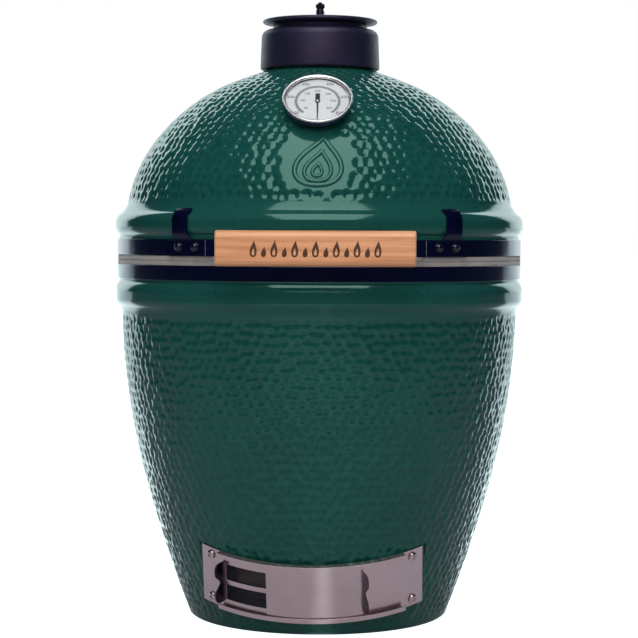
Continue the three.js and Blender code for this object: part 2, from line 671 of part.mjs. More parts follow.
// A pull at the end of a sliding panel: a plate that stands out from it, waisted in the middle
// and leaning a little way towards that end.
function pull(angle, from, lean) {
  const REACH = 17;
  const WAIST = 8;
  const outline = points([
    [0, -29], [REACH - 4, -29], [REACH, -23], [REACH, -12], [WAIST, -2],
    [WAIST, 2], [REACH, 12], [REACH, 23], [REACH - 4, 29], [0, 29],
  ]).map((p) => point(-p.x, p.y));
  return spread(outline.reverse(), -0.8, 0.8)
    .rotateZ(lean * DEG)
    .translate(0, -DRAFT_CURVE_R - from, 0)
    .rotateZ(angle * DEG);
}

function draftFrame() {
  const outer = CHANNEL + SHEET_T;
  const span = [-RAIL_END, RAIL_END];
  const plate = draftPart(PLATE, [-PLATE_END, PLATE_END], [-outer, outer]);
  const rails = [1, -1].flatMap((s) => {
    const heights = (low) => [s * low, s * outer].sort((a, b) => a - b);
    const shelf = draftPart([PLATE[0] + 0.5, LIP[1]], span, heights(CHANNEL));
    return [shelf, draftPart(LIP, span, heights(34.5))];
  });
  const opening = draftPart([-10, 6], WAY_IN, [-WINDOW_H, WINDOW_H]);
  const whole = join(plate, ...rails);
  place("draft_frame", cut(whole, opening, ...screwRods(2.6, -10, 20)), STAINLESS, draftGroup);
}

function screwRods(radius, from, to) {
  const rods = [];
  for (const s of [-1, 1])
    for (const h of [-1, 1]) {
      const a = s * SCREW_AT.angle * DEG;
      const at = (r) => [
        (DRAFT_CURVE_R + r) * Math.sin(a),
        -(DRAFT_CURVE_R + r) * Math.cos(a),
        h * SCREW_AT.height,
      ];
      rods.push(rod(at(from), at(to), radius, 8));
    }
  return rods;
}

function draftScrews() {
  for (const [side, s] of SIDES)
    for (const [where, h] of [["lower", -1], ["upper", 1]]) {
      const shank = rod([0, 0, -1.4], [0, 0, 1], 2.2, 8);
      const head = turn(points([[0, FIT], [5.5, FIT], [5.2, 2.2], [3.4, 3.6], [0, 4.1]]), 12);
      const screw = join(shank, head).rotateX(Math.PI / 2);
      screw.translate(0, -DRAFT_CURVE_R - PLATE[1], h * SCREW_AT.height);
      screw.rotateZ(s * SCREW_AT.angle * DEG);
      place(`draft_screw_${side}_${where}`, screw, STAINLESS, draftGroup);
    }
}

function draftDoors() {
  const PANEL_H = CHANNEL - 0.5;
  const panel = draftPart(SLIDER, SLIDER_ENDS, [-PANEL_H, PANEL_H]);
  const sliderPull = pull(SLIDER_ENDS[1] - 0.3, SLIDER[0] + 0.2, 25);
  place("draft_slider", join(panel, sliderPull), STAINLESS, draftGroup);

  const sheet = draftPart(SCREEN, SCREEN_ENDS, [-PANEL_H, PANEL_H]);
  const screenPull = pull(SCREEN_ENDS[0] + 0.3, SCREEN[0] + 0.2, -8);
  const ROWS = [[-26, -3.5], [3.5, 26]];
  const windows = ROWS.map((heights) => draftPart([0, 6], [-31.6, 0.3], heights));
  place("draft_screen", cut(join(sheet, screenPull), ...windows), STAINLESS, draftGroup);

  // Woven wire behind the windows, here as a thin sheet with an open lattice.
  const gauzeSheet = draftPart(GAUZE, [-32.6, 1.4], [-28.5, 28.5]);
  const holes = [];
  for (let column = 0; column < 5; column++)
    for (const heights of [[-25, -4.5], [4.5, 25]]) {
      const a = -31 + column * 6.3;
      holes.push(draftPart([0, 4], [a, a + 5.3], heights));
    }
  place("draft_gauze", cut(gauzeSheet, ...holes), SPRING_STEEL, draftGroup);
}

// ---------------------------------------------------------------- the whole grill
shells();
firebox();
fireRing();
charcoalGrate();
cookingGrid();
band("lower_band", LOWER_BAND_Z, LOWER_EAR_X, LOWER_BOLT);
band("upper_band", UPPER_BAND_Z, UPPER_EAR_X, UPPER_BOLT);
hingeBrackets();
bandBolts();
hingePin();
hingeSpring("hinge_spring_left", -1);
hingeSpring("hinge_spring_right", 1);
handle();
thermometer();
chimneyCap();
damper();
draftFrame();
draftScrews();
draftDoors();

export default part;
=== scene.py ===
# Looks of the kamado grill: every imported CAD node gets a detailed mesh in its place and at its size,
# a procedural material and the body that it moves with. Lengths are in millimetres until make(),
# which turns them into metres. The frame is the CAD's: +Z up, the front faces -Y.
import json
from contextlib import contextmanager
from functools import reduce
from math import acos, asin, atan2, cos, pi, sin, sqrt

import bmesh
import bpy
import numpy as np
from mathutils import Matrix, Vector
from mathutils.kdtree import KDTree


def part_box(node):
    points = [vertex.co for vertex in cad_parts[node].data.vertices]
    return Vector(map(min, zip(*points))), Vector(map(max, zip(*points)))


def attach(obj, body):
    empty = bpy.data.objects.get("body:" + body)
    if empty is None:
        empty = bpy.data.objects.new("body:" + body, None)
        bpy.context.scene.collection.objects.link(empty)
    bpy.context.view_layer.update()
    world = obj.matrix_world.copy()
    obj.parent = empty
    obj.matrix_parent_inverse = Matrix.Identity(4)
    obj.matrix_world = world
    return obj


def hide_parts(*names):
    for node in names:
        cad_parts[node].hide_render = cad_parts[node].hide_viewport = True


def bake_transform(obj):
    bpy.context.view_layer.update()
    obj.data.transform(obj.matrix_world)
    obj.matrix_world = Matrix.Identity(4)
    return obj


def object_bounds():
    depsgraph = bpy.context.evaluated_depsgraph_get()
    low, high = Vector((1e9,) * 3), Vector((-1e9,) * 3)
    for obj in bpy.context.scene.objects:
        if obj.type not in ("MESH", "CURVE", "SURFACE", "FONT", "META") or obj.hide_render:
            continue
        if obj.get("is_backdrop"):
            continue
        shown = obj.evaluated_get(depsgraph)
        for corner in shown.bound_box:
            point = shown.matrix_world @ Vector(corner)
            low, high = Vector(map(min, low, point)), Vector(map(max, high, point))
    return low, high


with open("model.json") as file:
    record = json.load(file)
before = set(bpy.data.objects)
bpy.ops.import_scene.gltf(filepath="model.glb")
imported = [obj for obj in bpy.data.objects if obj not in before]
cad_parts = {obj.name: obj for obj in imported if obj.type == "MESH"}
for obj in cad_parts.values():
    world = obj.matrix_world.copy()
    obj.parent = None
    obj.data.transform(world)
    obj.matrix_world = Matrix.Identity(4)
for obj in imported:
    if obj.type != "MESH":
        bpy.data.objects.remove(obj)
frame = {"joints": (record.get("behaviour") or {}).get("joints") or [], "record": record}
cad_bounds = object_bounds()

MM = 0.001
DEG = pi / 180


def joint(name):
    return next(j for j in frame["joints"] if j["name"] == name)


def span(node, axis):
    """(lowest, highest) of a CAD node along X, Y or Z, in millimetres."""
    low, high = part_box(node)
    return low[axis] / MM, high[axis] / MM


X, Y, Z = 0, 1, 2

# ---- sizes taken from the frame
RIM_Z = span("base_shell", Z)[1]
DOME_RIM_Z, CHIMNEY_TOP_Z = span("dome_shell", Z)
RIDGE_R = span("base_shell", Y)[1]
FELT_R = span("base_gasket", Y)[1]
LOWER_BAND_Z = span("lower_band", Z)
UPPER_BAND_Z = span("upper_band", Z)
BAND_OUT_R = -span("lower_band", Y)[0]
HINGE = Vector(joint("dome_hinge")["pos_m"]) / MM
CAP_HINGE = Vector(joint("cap_lid_hinge")["pos_m"]) / MM
DIAL_FOOT = Vector(joint("needle_spin")["pos_m"]) / MM
DIAL_OUT = -Vector(joint("needle_spin")["axis"])
DOOR_MIDDLE = Vector(joint("draft_slide")["pos_m"]) / MM
DOOR_UP = Vector(joint("draft_slide")["axis"])

DIAL_FRAME = Matrix.Translation(DIAL_FOOT) @ Matrix.Rotation(acos(DIAL_OUT.z), 4, "X")
DOOR_FRAME = (
    Matrix.Translation(DOOR_MIDDLE)
    @ Matrix.Rotation(atan2(DOOR_UP.x, -DOOR_UP.y), 4, "Z")
    @ Matrix.Rotation(acos(DOOR_UP.z), 4, "X")
)

# ---- outlines of the ceramic
FOOT = [(157, 0), (171, 0), (176.5, 6.6)]
BODY = [(176.5, 6.6), (231, 147.4), (265.6, 267.5), (269.8, 419.7)]
DOME = [(262.4, 561.9), (250.8, 638.9), (186.9, 704.3), (115.1, 731.4)]
SHOULDER = [(115.1, 731.4), (86, 742.5), (72, 746.6)]
WALL = 21
FLOOR_Z = 26
RIM_IN_R = 247
RECESS_R = 273.4


def bezier(points, steps):
    """Points of a Bezier curve of any degree."""
    t = np.linspace(0, 1, steps + 1)[:, None]
    levels = [np.array(p, float)[None, :].repeat(steps + 1, 0) for p in points]
    while len(levels) > 1:
        levels = [a * (1 - t) + b * t for a, b in zip(levels, levels[1:])]
    return levels[0]


def rounded(points, reach, steps=4, closed=False):
    """A polyline whose corners are rounded, each starting at most reach before its corner."""
    points = [np.array(p, float) for p in points]
    count = len(points)
    made = []
    for k, corner in enumerate(points):
        if not closed and k in (0, count - 1):
            made.append(corner)
            continue
        ways = (points[k - 1] - corner, points[(k + 1) % count] - corner)
        ends = [corner + way * min(reach / np.linalg.norm(way), 0.5) for way in ways]
        made.extend(bezier([ends[0], corner, ends[1]], steps))
    return np.array(made)


def arc_lengths(line):
    return np.concatenate([[0], np.cumsum(np.linalg.norm(np.diff(line, axis=0), axis=1))])


def spaced(points, gap):
    """The same line with points about gap apart."""
    points = np.array(points, float)
    s = arc_lengths(points)
    wanted = np.linspace(0, s[-1], max(2, round(s[-1] / gap)) + 1)
    return np.stack([np.interp(wanted, s, points[:, k]) for k in (0, 1)], 1)


def side_normals(line):
    """Unit normals to the right of a plane line's direction."""
    way = np.gradient(np.array(line, float), axis=0)
    way /= np.linalg.norm(way, axis=1)[:, None]
    return np.stack([way[:, 1], -way[:, 0]], 1)


def inner_wall(points, steps):
    curve = bezier(points, steps)
    return curve - side_normals(curve) * WALL


def circle(count):
    """Angles in radians, evenly round a whole turn."""
    return np.arange(count) * 2 * pi / count


def polar(radius, angle, z=0.0):
    """Points round Z. Angles are in radians from the front, -Y, towards +X."""
    return np.stack(np.broadcast_arrays(radius * np.sin(angle), -radius * np.cos(angle), z), -1)


def turned(angle, axis):
    return Matrix.Rotation(angle * DEG, 4, axis)


def shifted(*place):
    return Matrix.Translation(place)


# ---- shapes
class Shape:
    """Vertices, faces, and the vertices as they were before the shape was moved, which the grain follows."""

    def __init__(self, verts, faces, grain=None):
        self.verts = np.array(verts, float).reshape(-1, 3)
        self.faces = [tuple(int(i) for i in f) for f in faces]
        self.grain = self.verts.copy() if grain is None else grain

    def moved(self, matrix):
        verts = self.verts @ np.array(matrix.to_3x3()).T + np.array(matrix.to_translation())
        flipped = matrix.determinant() < 0
        return Shape(verts, [f[::-1] for f in self.faces] if flipped else self.faces, self.grain)

    def __add__(self, other):
        shift = len(self.verts)
        faces = self.faces + [tuple(i + shift for i in f) for f in other.faces]
        grain = np.concatenate([self.grain, other.grain])
        return Shape(np.concatenate([self.verts, other.verts]), faces, grain)


def grid_faces(rows, columns, wrap_rows, wrap_columns):
    """Quads between the points of a grid, numbered row by row."""
    index = np.arange(rows * columns).reshape(rows, columns)
    if wrap_rows:
        index = np.concatenate([index, index[:1]])
    if wrap_columns:
        index = np.concatenate([index, index[:, :1]], 1)
    quads = [index[:-1, :-1], index[:-1, 1:], index[1:, 1:], index[1:, :-1]]
    return np.stack([q.ravel() for q in quads], 1)


def lathe(profile, columns=64, move=None):
    """A profile of (radius, height) turned about Z, up the outside and down the inside.
    Its ends lie on the axis, or it closes on itself. move(radius, height, angle) may shift the grid."""
    profile = np.array(profile, float)
    on_axis = profile[:, 0] < 1e-6
    ring = profile[~on_axis]
    angle = circle(columns)
    radius = ring[:, :1].repeat(columns, 1)
    height = ring[:, 1:].repeat(columns, 1)
    if move:
        radius, height = move(radius, height, angle)
    verts = polar(radius, angle, height).reshape(-1, 3)
    closed = not on_axis.any()
    faces = grid_faces(len(ring), columns, closed, True).tolist()
    for end, row in ((0, 0), (-1, len(ring) - 1)):
        if on_axis[end]:
            verts = np.concatenate([verts, [[0, 0, profile[end, 1]]]])
            first = row * columns
            for k in range(columns):
                pair = (first + k, first + (k + 1) % columns)
                faces.append((len(verts) - 1, *(pair[::-1] if end == 0 else pair)))
    return Shape(verts, faces)


def prism(outline, z0, z1):
    """A plane outline, anticlockwise, raised from z0 to z1."""
    outline = np.array(outline, float)
    count = len(outline)
    sides = [(k, (k + 1) % count, (k + 1) % count + count, k + count) for k in range(count)]
    caps = [tuple(range(count))[::-1], tuple(range(count, 2 * count))]
    return Shape(np.concatenate([np.insert(outline, 2, z, 1) for z in (z0, z1)]), sides + caps)


def slab(front, back):
    """A closed sheet between two grids of points, rows by columns."""
    n, m = front.shape[:2]
    outer = grid_faces(n, m, False, False)
    inner = outer[:, ::-1] + n * m
    edge = [*range(m), *range(2 * m - 1, n * m, m), *range(n * m - 2, (n - 1) * m - 1, -1)]
    edge += range((n - 2) * m, 0, -m)
    walls = [(b, a, a + n * m, b + n * m) for a, b in zip(edge, edge[1:] + edge[:1])]
    return Shape(np.concatenate([front, back]), outer.tolist() + inner.tolist() + walls)


def strip(path, thickness, z0, z1):
    """Sheet metal standing on edge along a plane path."""
    off = side_normals(path) * thickness / 2
    grids = [np.stack([np.insert(line, 2, z, 1) for z in (z0, z1)]) for line in (path + off, path - off)]
    return slab(*grids)


def curved_sheet(rows, limits, thickness, columns):
    """Sheet metal wrapped round Z between two angles in degrees, whose middle is at (radius, height) rows."""
    off = side_normals(rows) * thickness / 2
    angle = np.linspace(*limits, columns) * DEG
    return slab(*(polar(line[:, :1], angle, line[:, 1:]) for line in (rows + off, rows - off)))


def tube(path, radius, sides=10):
    """A round wire along a path, with flat ends."""
    path = np.array(path, float)
    way = np.gradient(path, axis=0)
    way /= np.linalg.norm(way, axis=1)[:, None]
    side = np.cross(way[0], [0.31, 0.17, 0.93])
    rings = []
    turn = circle(sides)
    for p, w in zip(path, way):
        side = side - w * (side @ w)
        side /= np.linalg.norm(side)
        other = np.cross(w, side)
        rings.append(p + radius * (np.outer(np.cos(turn), side) + np.outer(np.sin(turn), other)))
    n = len(path)
    faces = grid_faces(n, sides, False, True).tolist()
    faces += [tuple(range(sides))[::-1], tuple(range((n - 1) * sides, n * sides))]
    return Shape(np.concatenate(rings), faces)


def along(a, b):
    """The matrix that stands a shape made on Z at a, pointing to b."""
    a, b = Vector(a), Vector(b)
    return Matrix.Translation(a) @ (b - a).to_track_quat("Z", "Y").to_matrix().to_4x4()


def rod(a, b, radius, sides=24, chamfer=1e-3):
    """A round bar from a to b."""
    length = (Vector(b) - Vector(a)).length
    low = [(0, 0), (radius - chamfer, 0), (radius, chamfer)]
    high = [(radius, length - chamfer), (radius - chamfer, length), (0, length)]
    return lathe(low + high, sides).moved(along(a, b))


def block(x, y, z):
    outline = [(x[0], y[0]), (x[1], y[0]), (x[1], y[1]), (x[0], y[1])]
    return prism(outline, *z)


def sector(radii, angles, step=3.0):
    """The outline of part of a ring. Angles are in degrees from -Y towards +X."""
    count = max(2, round((angles[1] - angles[0]) / step) + 1)
    turn = np.linspace(*angles, count) * DEG
    return np.concatenate([polar(radii[1], turn), polar(radii[0], turn[::-1])])[:, :2]


def mirror(shape):
    return shape.moved(Matrix.Scale(-1, 4, (1, 0, 0)))


def merged(shapes):
    return reduce(Shape.__add__, shapes)


def ringed(points, reach, columns, steps=3, move=None):
    """A closed profile with rounded corners, turned about Z."""
    return lathe(rounded(points, reach, steps, closed=True), columns, move)


# ---- Blender objects from shapes
@contextmanager
def edited(mesh):
    """The mesh as a bmesh, written back at the end."""
    edit = bmesh.new()
    edit.from_mesh(mesh)
    yield edit
    edit.to_mesh(mesh)
    edit.free()


def mesh_of(name, shape):
    mesh = bpy.data.meshes.new(name)
    mesh.from_pydata((shape.verts * MM).tolist(), [], shape.faces)
    with edited(mesh) as edit:
        bmesh.ops.recalc_face_normals(edit, faces=edit.faces)
    return mesh


def placed(name, data):
    """A new object in the scene."""
    obj = bpy.data.objects.new(name, data)
    bpy.context.scene.collection.objects.link(obj)
    return obj


def evaluated(obj):
    """A new mesh of the object with all its modifiers."""
    graph = bpy.context.evaluated_depsgraph_get()
    return bpy.data.meshes.new_from_object(obj.evaluated_get(graph))


def taken(mesh, unit):
    """The shape of a short-lived mesh whose coordinates are in the unit. The mesh is removed."""
    made = Shape(np.array([v.co for v in mesh.vertices]) / unit, [tuple(p.vertices) for p in mesh.polygons])
    bpy.data.meshes.remove(mesh)
    return made


def combine(shape, tools, operation):
    """One boolean result of a shape with each tool, made with short-lived objects."""
    target, *helpers = [placed("tool", mesh_of("tool", s)) for s in (shape, *tools)]
    for helper in helpers:
        modifier = target.modifiers.new("boolean", "BOOLEAN")
        modifier.operation = operation
        modifier.object = helper
        modifier.solver = "MANIFOLD"
    made = taken(evaluated(target), MM)
    for obj in (target, *helpers):
        mesh = obj.data
        bpy.data.objects.remove(obj)
        bpy.data.meshes.remove(mesh)
    if not made.faces:
        raise ValueError("a boolean left nothing")
    return made


def cut(shape, *tools):
    return combine(shape, tools, "DIFFERENCE")


def join(shape, *tools):
    return combine(shape, tools, "UNION")


def make(name, shape, material, body, slot, replaces=(), bevel=0.0, sharp=38, values=None):
    """A finished piece: smooth but for edges sharper than the angle, and bevelled if asked."""
    mesh = mesh_of(name, shape)
    obj = placed(name, mesh)
    grain = mesh.attributes.new("grain", "FLOAT_VECTOR", "POINT")
    grain.data.foreach_set("vector", (shape.grain * MM).astype(np.float32).ravel())
    if values is not None:
        level = mesh.attributes.new("level", "FLOAT", "POINT")
        level.data.foreach_set("value", values.astype(np.float32))
    mesh.shade_smooth()
    with edited(mesh) as edit:
        for edge in edit.edges:
            if len(edge.link_faces) == 2 and edge.calc_face_angle(0) > sharp * DEG:
                edge.smooth = False
    if bevel:
        modifier = obj.modifiers.new("bevel", "BEVEL")
        modifier.width = bevel * MM
        modifier.segments = 2
        modifier.limit_method = "ANGLE"
        modifier.angle_limit = sharp * DEG
    mesh.materials.append(material)
    if body:
        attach(obj, body)
    if replaces:
        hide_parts(*replaces)
    return obj


# ---- materials
class Graph:
    """The nodes of a material or world. A socket given as an input is linked, another value is set."""

    def __init__(self, owner):
        owner.use_nodes = True
        self.nodes = owner.node_tree.nodes
        self.links = owner.node_tree.links

    def feed(self, socket, value):
        if isinstance(value, bpy.types.NodeSocket):
            self.links.new(value, socket)
        else:
            socket.default_value = value

    def add(self, kind, inputs=(), **settings):
        """A node of a kind, with inputs by name or number."""
        node = self.nodes.new("ShaderNode" + kind)
        for key, value in settings.items():
            setattr(node, key, value)
        for key, value in dict(inputs).items():
            self.feed(node.inputs[key], value)
        return node

    def maths(self, operation, *values):
        return self.add("Math", enumerate(values), operation=operation).outputs[0]

    def split(self, vector):
        return self.add("SeparateXYZ", {0: vector}).outputs

    def ranged(self, value, before, after, easing="LINEAR"):
        """The value carried from one range over to another."""
        names = ("Value", "From Min", "From Max", "To Min", "To Max")
        inputs = zip(names, (value, *before, *after))
        return self.add("MapRange", inputs, interpolation_type=easing).outputs["Result"]

    def ramp(self, factor, stops):
        """A colour ramp through stops of (place, colour or grey level)."""
        node = self.add("ValToRGB", {"Fac": factor})
        elements = node.color_ramp.elements
        while len(elements) < len(stops):
            elements.new(0.5)
        for element, (place, colour) in zip(elements, stops):
            element.position = place
            element.color = (*(colour if hasattr(colour, "__len__") else (colour,) * 3), 1.0)
        return node.outputs["Color"]

    def between(self, factor, dark, light):
        return self.ramp(factor, [(0.3, dark), (0.7, light)])


class Paint(Graph):
    """A Principled material whose colour, roughness and bump come from noise in the piece's own space."""

    def __init__(self, name, roughness, metallic=0.0):
        self.material = bpy.data.materials.new(name)
        super().__init__(self.material)
        self.shader = self.nodes["Principled BSDF"]
        self.space = self.add("Attribute", attribute_name="grain").outputs["Vector"]
        self.normal = None
        self.set("Roughness", roughness).set("Metallic", metallic)

    def set(self, socket, value):
        """Sets or links an input of the shader itself."""
        self.feed(self.shader.inputs[socket], value)
        return self

    def stretched(self, scale):
        """The piece's space in units that make one noise cell 1/scale metres long on each axis."""
        return self.add("VectorMath", {0: self.space, 1: scale}, operation="MULTIPLY").outputs["Vector"]

    def noise(self, scale, detail=2.0, roughness=0.5, distortion=0.0):
        """Noise with so many cells a metre, the same on every axis or one number for each."""
        cells = scale if isinstance(scale, tuple) else (scale,) * 3
        inputs = {"Vector": self.stretched(cells), "Scale": 1.0, "Detail": detail}
        inputs |= {"Roughness": roughness, "Distortion": distortion}
        return self.add("TexNoise", inputs).outputs["Fac"]

    def mix(self, factor, a, b):
        a, b = ((*v, 1.0) if isinstance(v, tuple) else v for v in (a, b))
        return self.add("Mix", {0: factor, 6: a, 7: b}, data_type="RGBA").outputs[2]

    def colour(self, output):
        return self.set("Base Color", output)

    def two_tone(self, share, a, b, dark, light):
        """Colours between dark and light from two patterns, with so much of the second."""
        return self.colour(self.mix(share, self.between(a, dark, light), self.between(b, dark, light)))

    def rough(self, factor, low, high):
        return self.set("Roughness", self.ranged(factor, (0.0, 1.0), (low, high)))

    def bump(self, height, distance):
        node = self.add("Bump", {"Height": height, "Strength": 1.0, "Distance": distance * MM})
        if self.normal:
            self.feed(node.inputs["Normal"], self.normal)
        self.normal = node.outputs["Normal"]
        return self.set("Normal", self.normal)


def glaze_paint():
    """Deep green glass over a darker body, thicker and darker where it pools in the dimples."""
    p = Paint("glaze", 0.1)
    base = p.between(p.noise(9, 3), (0.0036, 0.042, 0.034), (0.0064, 0.058, 0.046))
    level = p.add("Attribute", attribute_name="level").outputs["Fac"]
    thin = p.mix(0.5, base, (0.011, 0.068, 0.054))
    pooled = p.mix(p.ramp(level, [(0.15, 0.0), (0.95, 1.0)]), base, thin)
    flecks = p.ramp(p.noise(160), [(0.62, 0.0), (0.72, 0.35)])
    p.colour(p.mix(flecks, pooled, (0.002, 0.017, 0.014)))
    p.rough(p.noise(40), 0.07, 0.15)
    p.bump(p.noise(70), 0.10)
    p.set("IOR", 1.52).set("Specular Tint", (0.47, 0.85, 0.71, 1.0))
    return p.material


def matt_paint(name, dark, light, roughness, grain, depth, metallic=0.0):
    """A rough or cast surface: cloudy colour, with grains standing out of it."""
    p = Paint(name, roughness, metallic)
    grains = p.noise(grain, 4, 0.6)
    p.two_tone(0.5, p.noise(grain / 14, 3), grains, dark, light)
    p.rough(grains, roughness * 0.8, min(1.0, roughness * 1.15))
    p.bump(grains, depth)
    return p.material


def brushed_paint(name, dark, light, roughness, lines):
    """Steel brushed along its length: fine lines across Z of the piece's own space."""
    p = Paint(name, roughness, 1.0)
    p.set("Tangent", p.add("CombineXYZ", {"Z": 1.0}).outputs["Vector"])
    p.set("Anisotropic", 0.7)
    stroke = p.noise(lines, 3, 0.65)
    p.two_tone(0.35, p.noise(14, 3), stroke, dark, light)
    p.rough(stroke, roughness * 0.85, roughness * 1.15)
    p.bump(stroke, 0.002)
    return p.material


def coated_paint(name, colour, roughness, peel, depth, tint=(1.0, 1.0, 1.0), shine=0.5):
    """Black powder coat or oxide, and the thermometer case's painted reflection and shade: nearly even, with
    a slight orange peel and worn lighter flecks.
    """
    p = Paint(name, roughness)
    worn = tuple(c * 1.6 + 0.001 for c in colour)
    p.colour(p.ramp(p.noise(22, 3), [(0.35, colour), (0.8, worn)]))
    p.rough(p.noise(90, 3), roughness * 0.8, roughness * 1.25)
    p.bump(p.noise(peel), depth)
    p.set("Specular Tint", (*tint, 1.0)).set("Specular IOR Level", shine)
    return p.material


def felt_paint():
    p = Paint("felt", 0.95)
    fibre = p.noise((420, 420, 900), 4, 0.7, 1.5)
    cloudy = p.between(p.noise(45, 3), (0.20, 0.17, 0.155), (0.30, 0.27, 0.245))
    p.colour(p.mix(0.5, cloudy, p.between(fibre, (0.13, 0.11, 0.10), (0.36, 0.33, 0.30))))
    p.bump(fibre, 0.35)
    p.set("Sheen Weight", 0.3)
    return p.material


def wood_paint():
    """Oiled hardwood whose grain runs along X, with darker growth lines and short pores."""
    p = Paint("wood", 0.45)
    inputs = {"Scale": 26, "Distortion": 5.5, "Detail": 3, "Detail Scale": 0.35}
    inputs["Vector"] = p.stretched((0.35, 1.0, 1.0))
    rings = p.add("TexWave", inputs, wave_type="BANDS", bands_direction="Z").outputs["Fac"]
    streak = p.noise((7, 160, 260), 4, 0.6)
    pores = p.noise((45, 900, 1500), 2, 0.6)
    tone = p.ramp(rings, [(0.1, (0.486, 0.2, 0.083)), (0.9, (0.62, 0.287, 0.13))])
    tone = p.mix(0.65, tone, p.between(streak, (0.425, 0.163, 0.062), (0.70, 0.35, 0.176)))
    p.colour(p.mix(p.ramp(pores, [(0.60, 0.0), (0.72, 0.55)]), tone, (0.36, 0.15, 0.06)))
    p.rough(streak, 0.31, 0.47)
    p.bump(pores, -0.08).bump(streak, 0.05)
    return p.material


def glass_paint():
    """A thin clear cover: nearly invisible but for its gloss, with faint smears."""
    p = Paint("lens_glass", 0.02)
    p.rough(p.noise(60), 0.0, 0.06)
    p.set("Transmission Weight", 1.0).set("IOR", 1.45)
    p.colour(p.between(p.noise(30), (0.96, 0.98, 0.98), (1.0, 1.0, 1.0)))
    return p.material


def print_paint(name, dark, light, roughness=0.6):
    """Print or enamel, with the slight unevenness of ink."""
    p = Paint(name, roughness)
    p.colour(p.between(p.noise(700, 3, 0.6), dark, light))
    p.bump(p.noise(900), 0.008)
    return p.material


LONG_STROKES = (20, 20, 1500)
GLAZE = glaze_paint()
FIRECLAY = matt_paint("fireclay", (0.42, 0.33, 0.24), (0.62, 0.52, 0.40), 0.92, 260, 0.35)
FELT = felt_paint()
BLACK_STEEL = coated_paint("black_steel", (0.0004, 0.0008, 0.009), 0.14, 420, 0.006, (0.52, 0.56, 0.9))
BLACK_BOLT = coated_paint("black_bolt", (0.003, 0.003, 0.009), 0.16, 600, 0.004)
CAP_BLACK = coated_paint("cap_black", (0.0075, 0.0072, 0.019), 0.46, 900, 0.04, (0.85, 0.66, 0.95), 0.45)
CAST_IRON = matt_paint("cast_iron", (0.018, 0.018, 0.02), (0.05, 0.05, 0.052), 0.6, 500, 0.3, 0.6)
SPRING_STEEL = brushed_paint("spring_steel", (0.22, 0.22, 0.23), (0.36, 0.36, 0.37), 0.3, 300)
# The gauze is painted near black: painted shade that stands for the dark inside seen through the windows.
GAUZE_PAINTED_SHADE = brushed_paint("gauze_wire_painted_shade", (0.042, 0.034, 0.056), (0.075, 0.062, 0.095), 0.45, 500)
DARK_SPRING = coated_paint("dark_spring", (0.003, 0.003, 0.009), 0.2, 600, 0.004)
STAINLESS = brushed_paint("stainless", (0.585, 0.46, 0.462), (0.71, 0.565, 0.565), 0.26, LONG_STROKES)
# Both pulls are painted dark steel: painted shade that stands for the shade on and beside the pulls.
PULL_PAINTED_SHADE = brushed_paint("pull_steel_painted_shade", (0.07, 0.05, 0.075), (0.12, 0.09, 0.125), 0.3, LONG_STROKES)
# The thermometer case is painted dark blue-black: a painted reflection of the dark dome and painted shade
# under the bezel, on a case that is really steel.
CASE_PAINTED_SHADE = coated_paint("case_painted_shade", (0.012, 0.018, 0.04), 0.3, 400, 0.01, (0.6, 0.7, 1.0))
BEZEL = brushed_paint("bezel_steel", (0.66, 0.62, 0.61), (0.80, 0.76, 0.75), 0.27, 400)
GRID_STEEL = brushed_paint("grid_steel", (0.45, 0.43, 0.42), (0.62, 0.60, 0.58), 0.22, 60)
WOOD = wood_paint()
DIAL_WHITE = print_paint("dial_white", (0.80, 0.80, 0.79), (0.86, 0.86, 0.85), 0.5)
DIAL_GREY = print_paint("dial_grey", (0.26, 0.28, 0.33), (0.34, 0.36, 0.42))
INK = print_paint("dial_ink", (0.012, 0.012, 0.014), (0.03, 0.03, 0.034))
BURNT = print_paint("burnt_wood", (0.045, 0.016, 0.007), (0.09, 0.034, 0.014), 0.85)
GLASS = glass_paint()
SILICONE = matt_paint("silicone", (0.02, 0.085, 0.05), (0.03, 0.115, 0.07), 0.65, 900, 0.03)

# ---- pieces in the place of CAD nodes
RECORD = frame["record"]
BODY_OF = {n: body for body, names in RECORD["behaviour"]["bodies"].items() for n in names}
SLOT_OF = {part["node"]: part["material_slot"] for part in RECORD["subparts"]}
SIDES = (("left", -1), ("right", 1))
rng = np.random.default_rng(7)


def stand_in(node, shape, material, **options):
    """A finished piece in the place of one CAD node, on its body."""
    return make(f"{node}.look", shape, material, BODY_OF[node], SLOT_OF[node], [node], **options)


def upright(outline, x0, x1):
    """An outline in the Y-Z plane, spread from x0 to x1."""
    shape = prism(outline, x0, x1)
    return Shape(shape.verts[:, [2, 0, 1]], shape.faces)


def hexagon(a, b, radius, chamfer):
    """A six-sided head or nut from a to b, with its corners turned off at both ends."""
    length = (Vector(b) - Vector(a)).length
    turn = circle(6)
    body = prism(radius * np.stack([np.cos(turn), np.sin(turn)], 1), 0, length)
    low = [(0, 0), (radius - chamfer * 1.6, 0), (radius, chamfer)]
    cone = lathe(low + [(r, length - z) for r, z in low[::-1]], 48)
    return combine(body, [cone], "INTERSECT").moved(along(a, b))


def nut(a, b, radius, chamfer, bore, sides=28):
    """A hexagon with a hole right through it."""
    past = 5 * (Vector(b) - Vector(a)).normalized()
    return cut(hexagon(a, b, radius, chamfer), rod(Vector(a) - past, Vector(b) + past, bore, sides))


def threaded(a, b, radius, pitch=1.0, depth=0.35):
    """A rod with the teeth of a screw thread round it."""
    length = (Vector(b) - Vector(a)).length
    turns = int(length / pitch)
    teeth = [(radius - depth * (k % 2), length * k / (2 * turns)) for k in range(2 * turns + 1)]
    return lathe([(0, 0), *teeth, (0, length)], 28).moved(along(a, b))


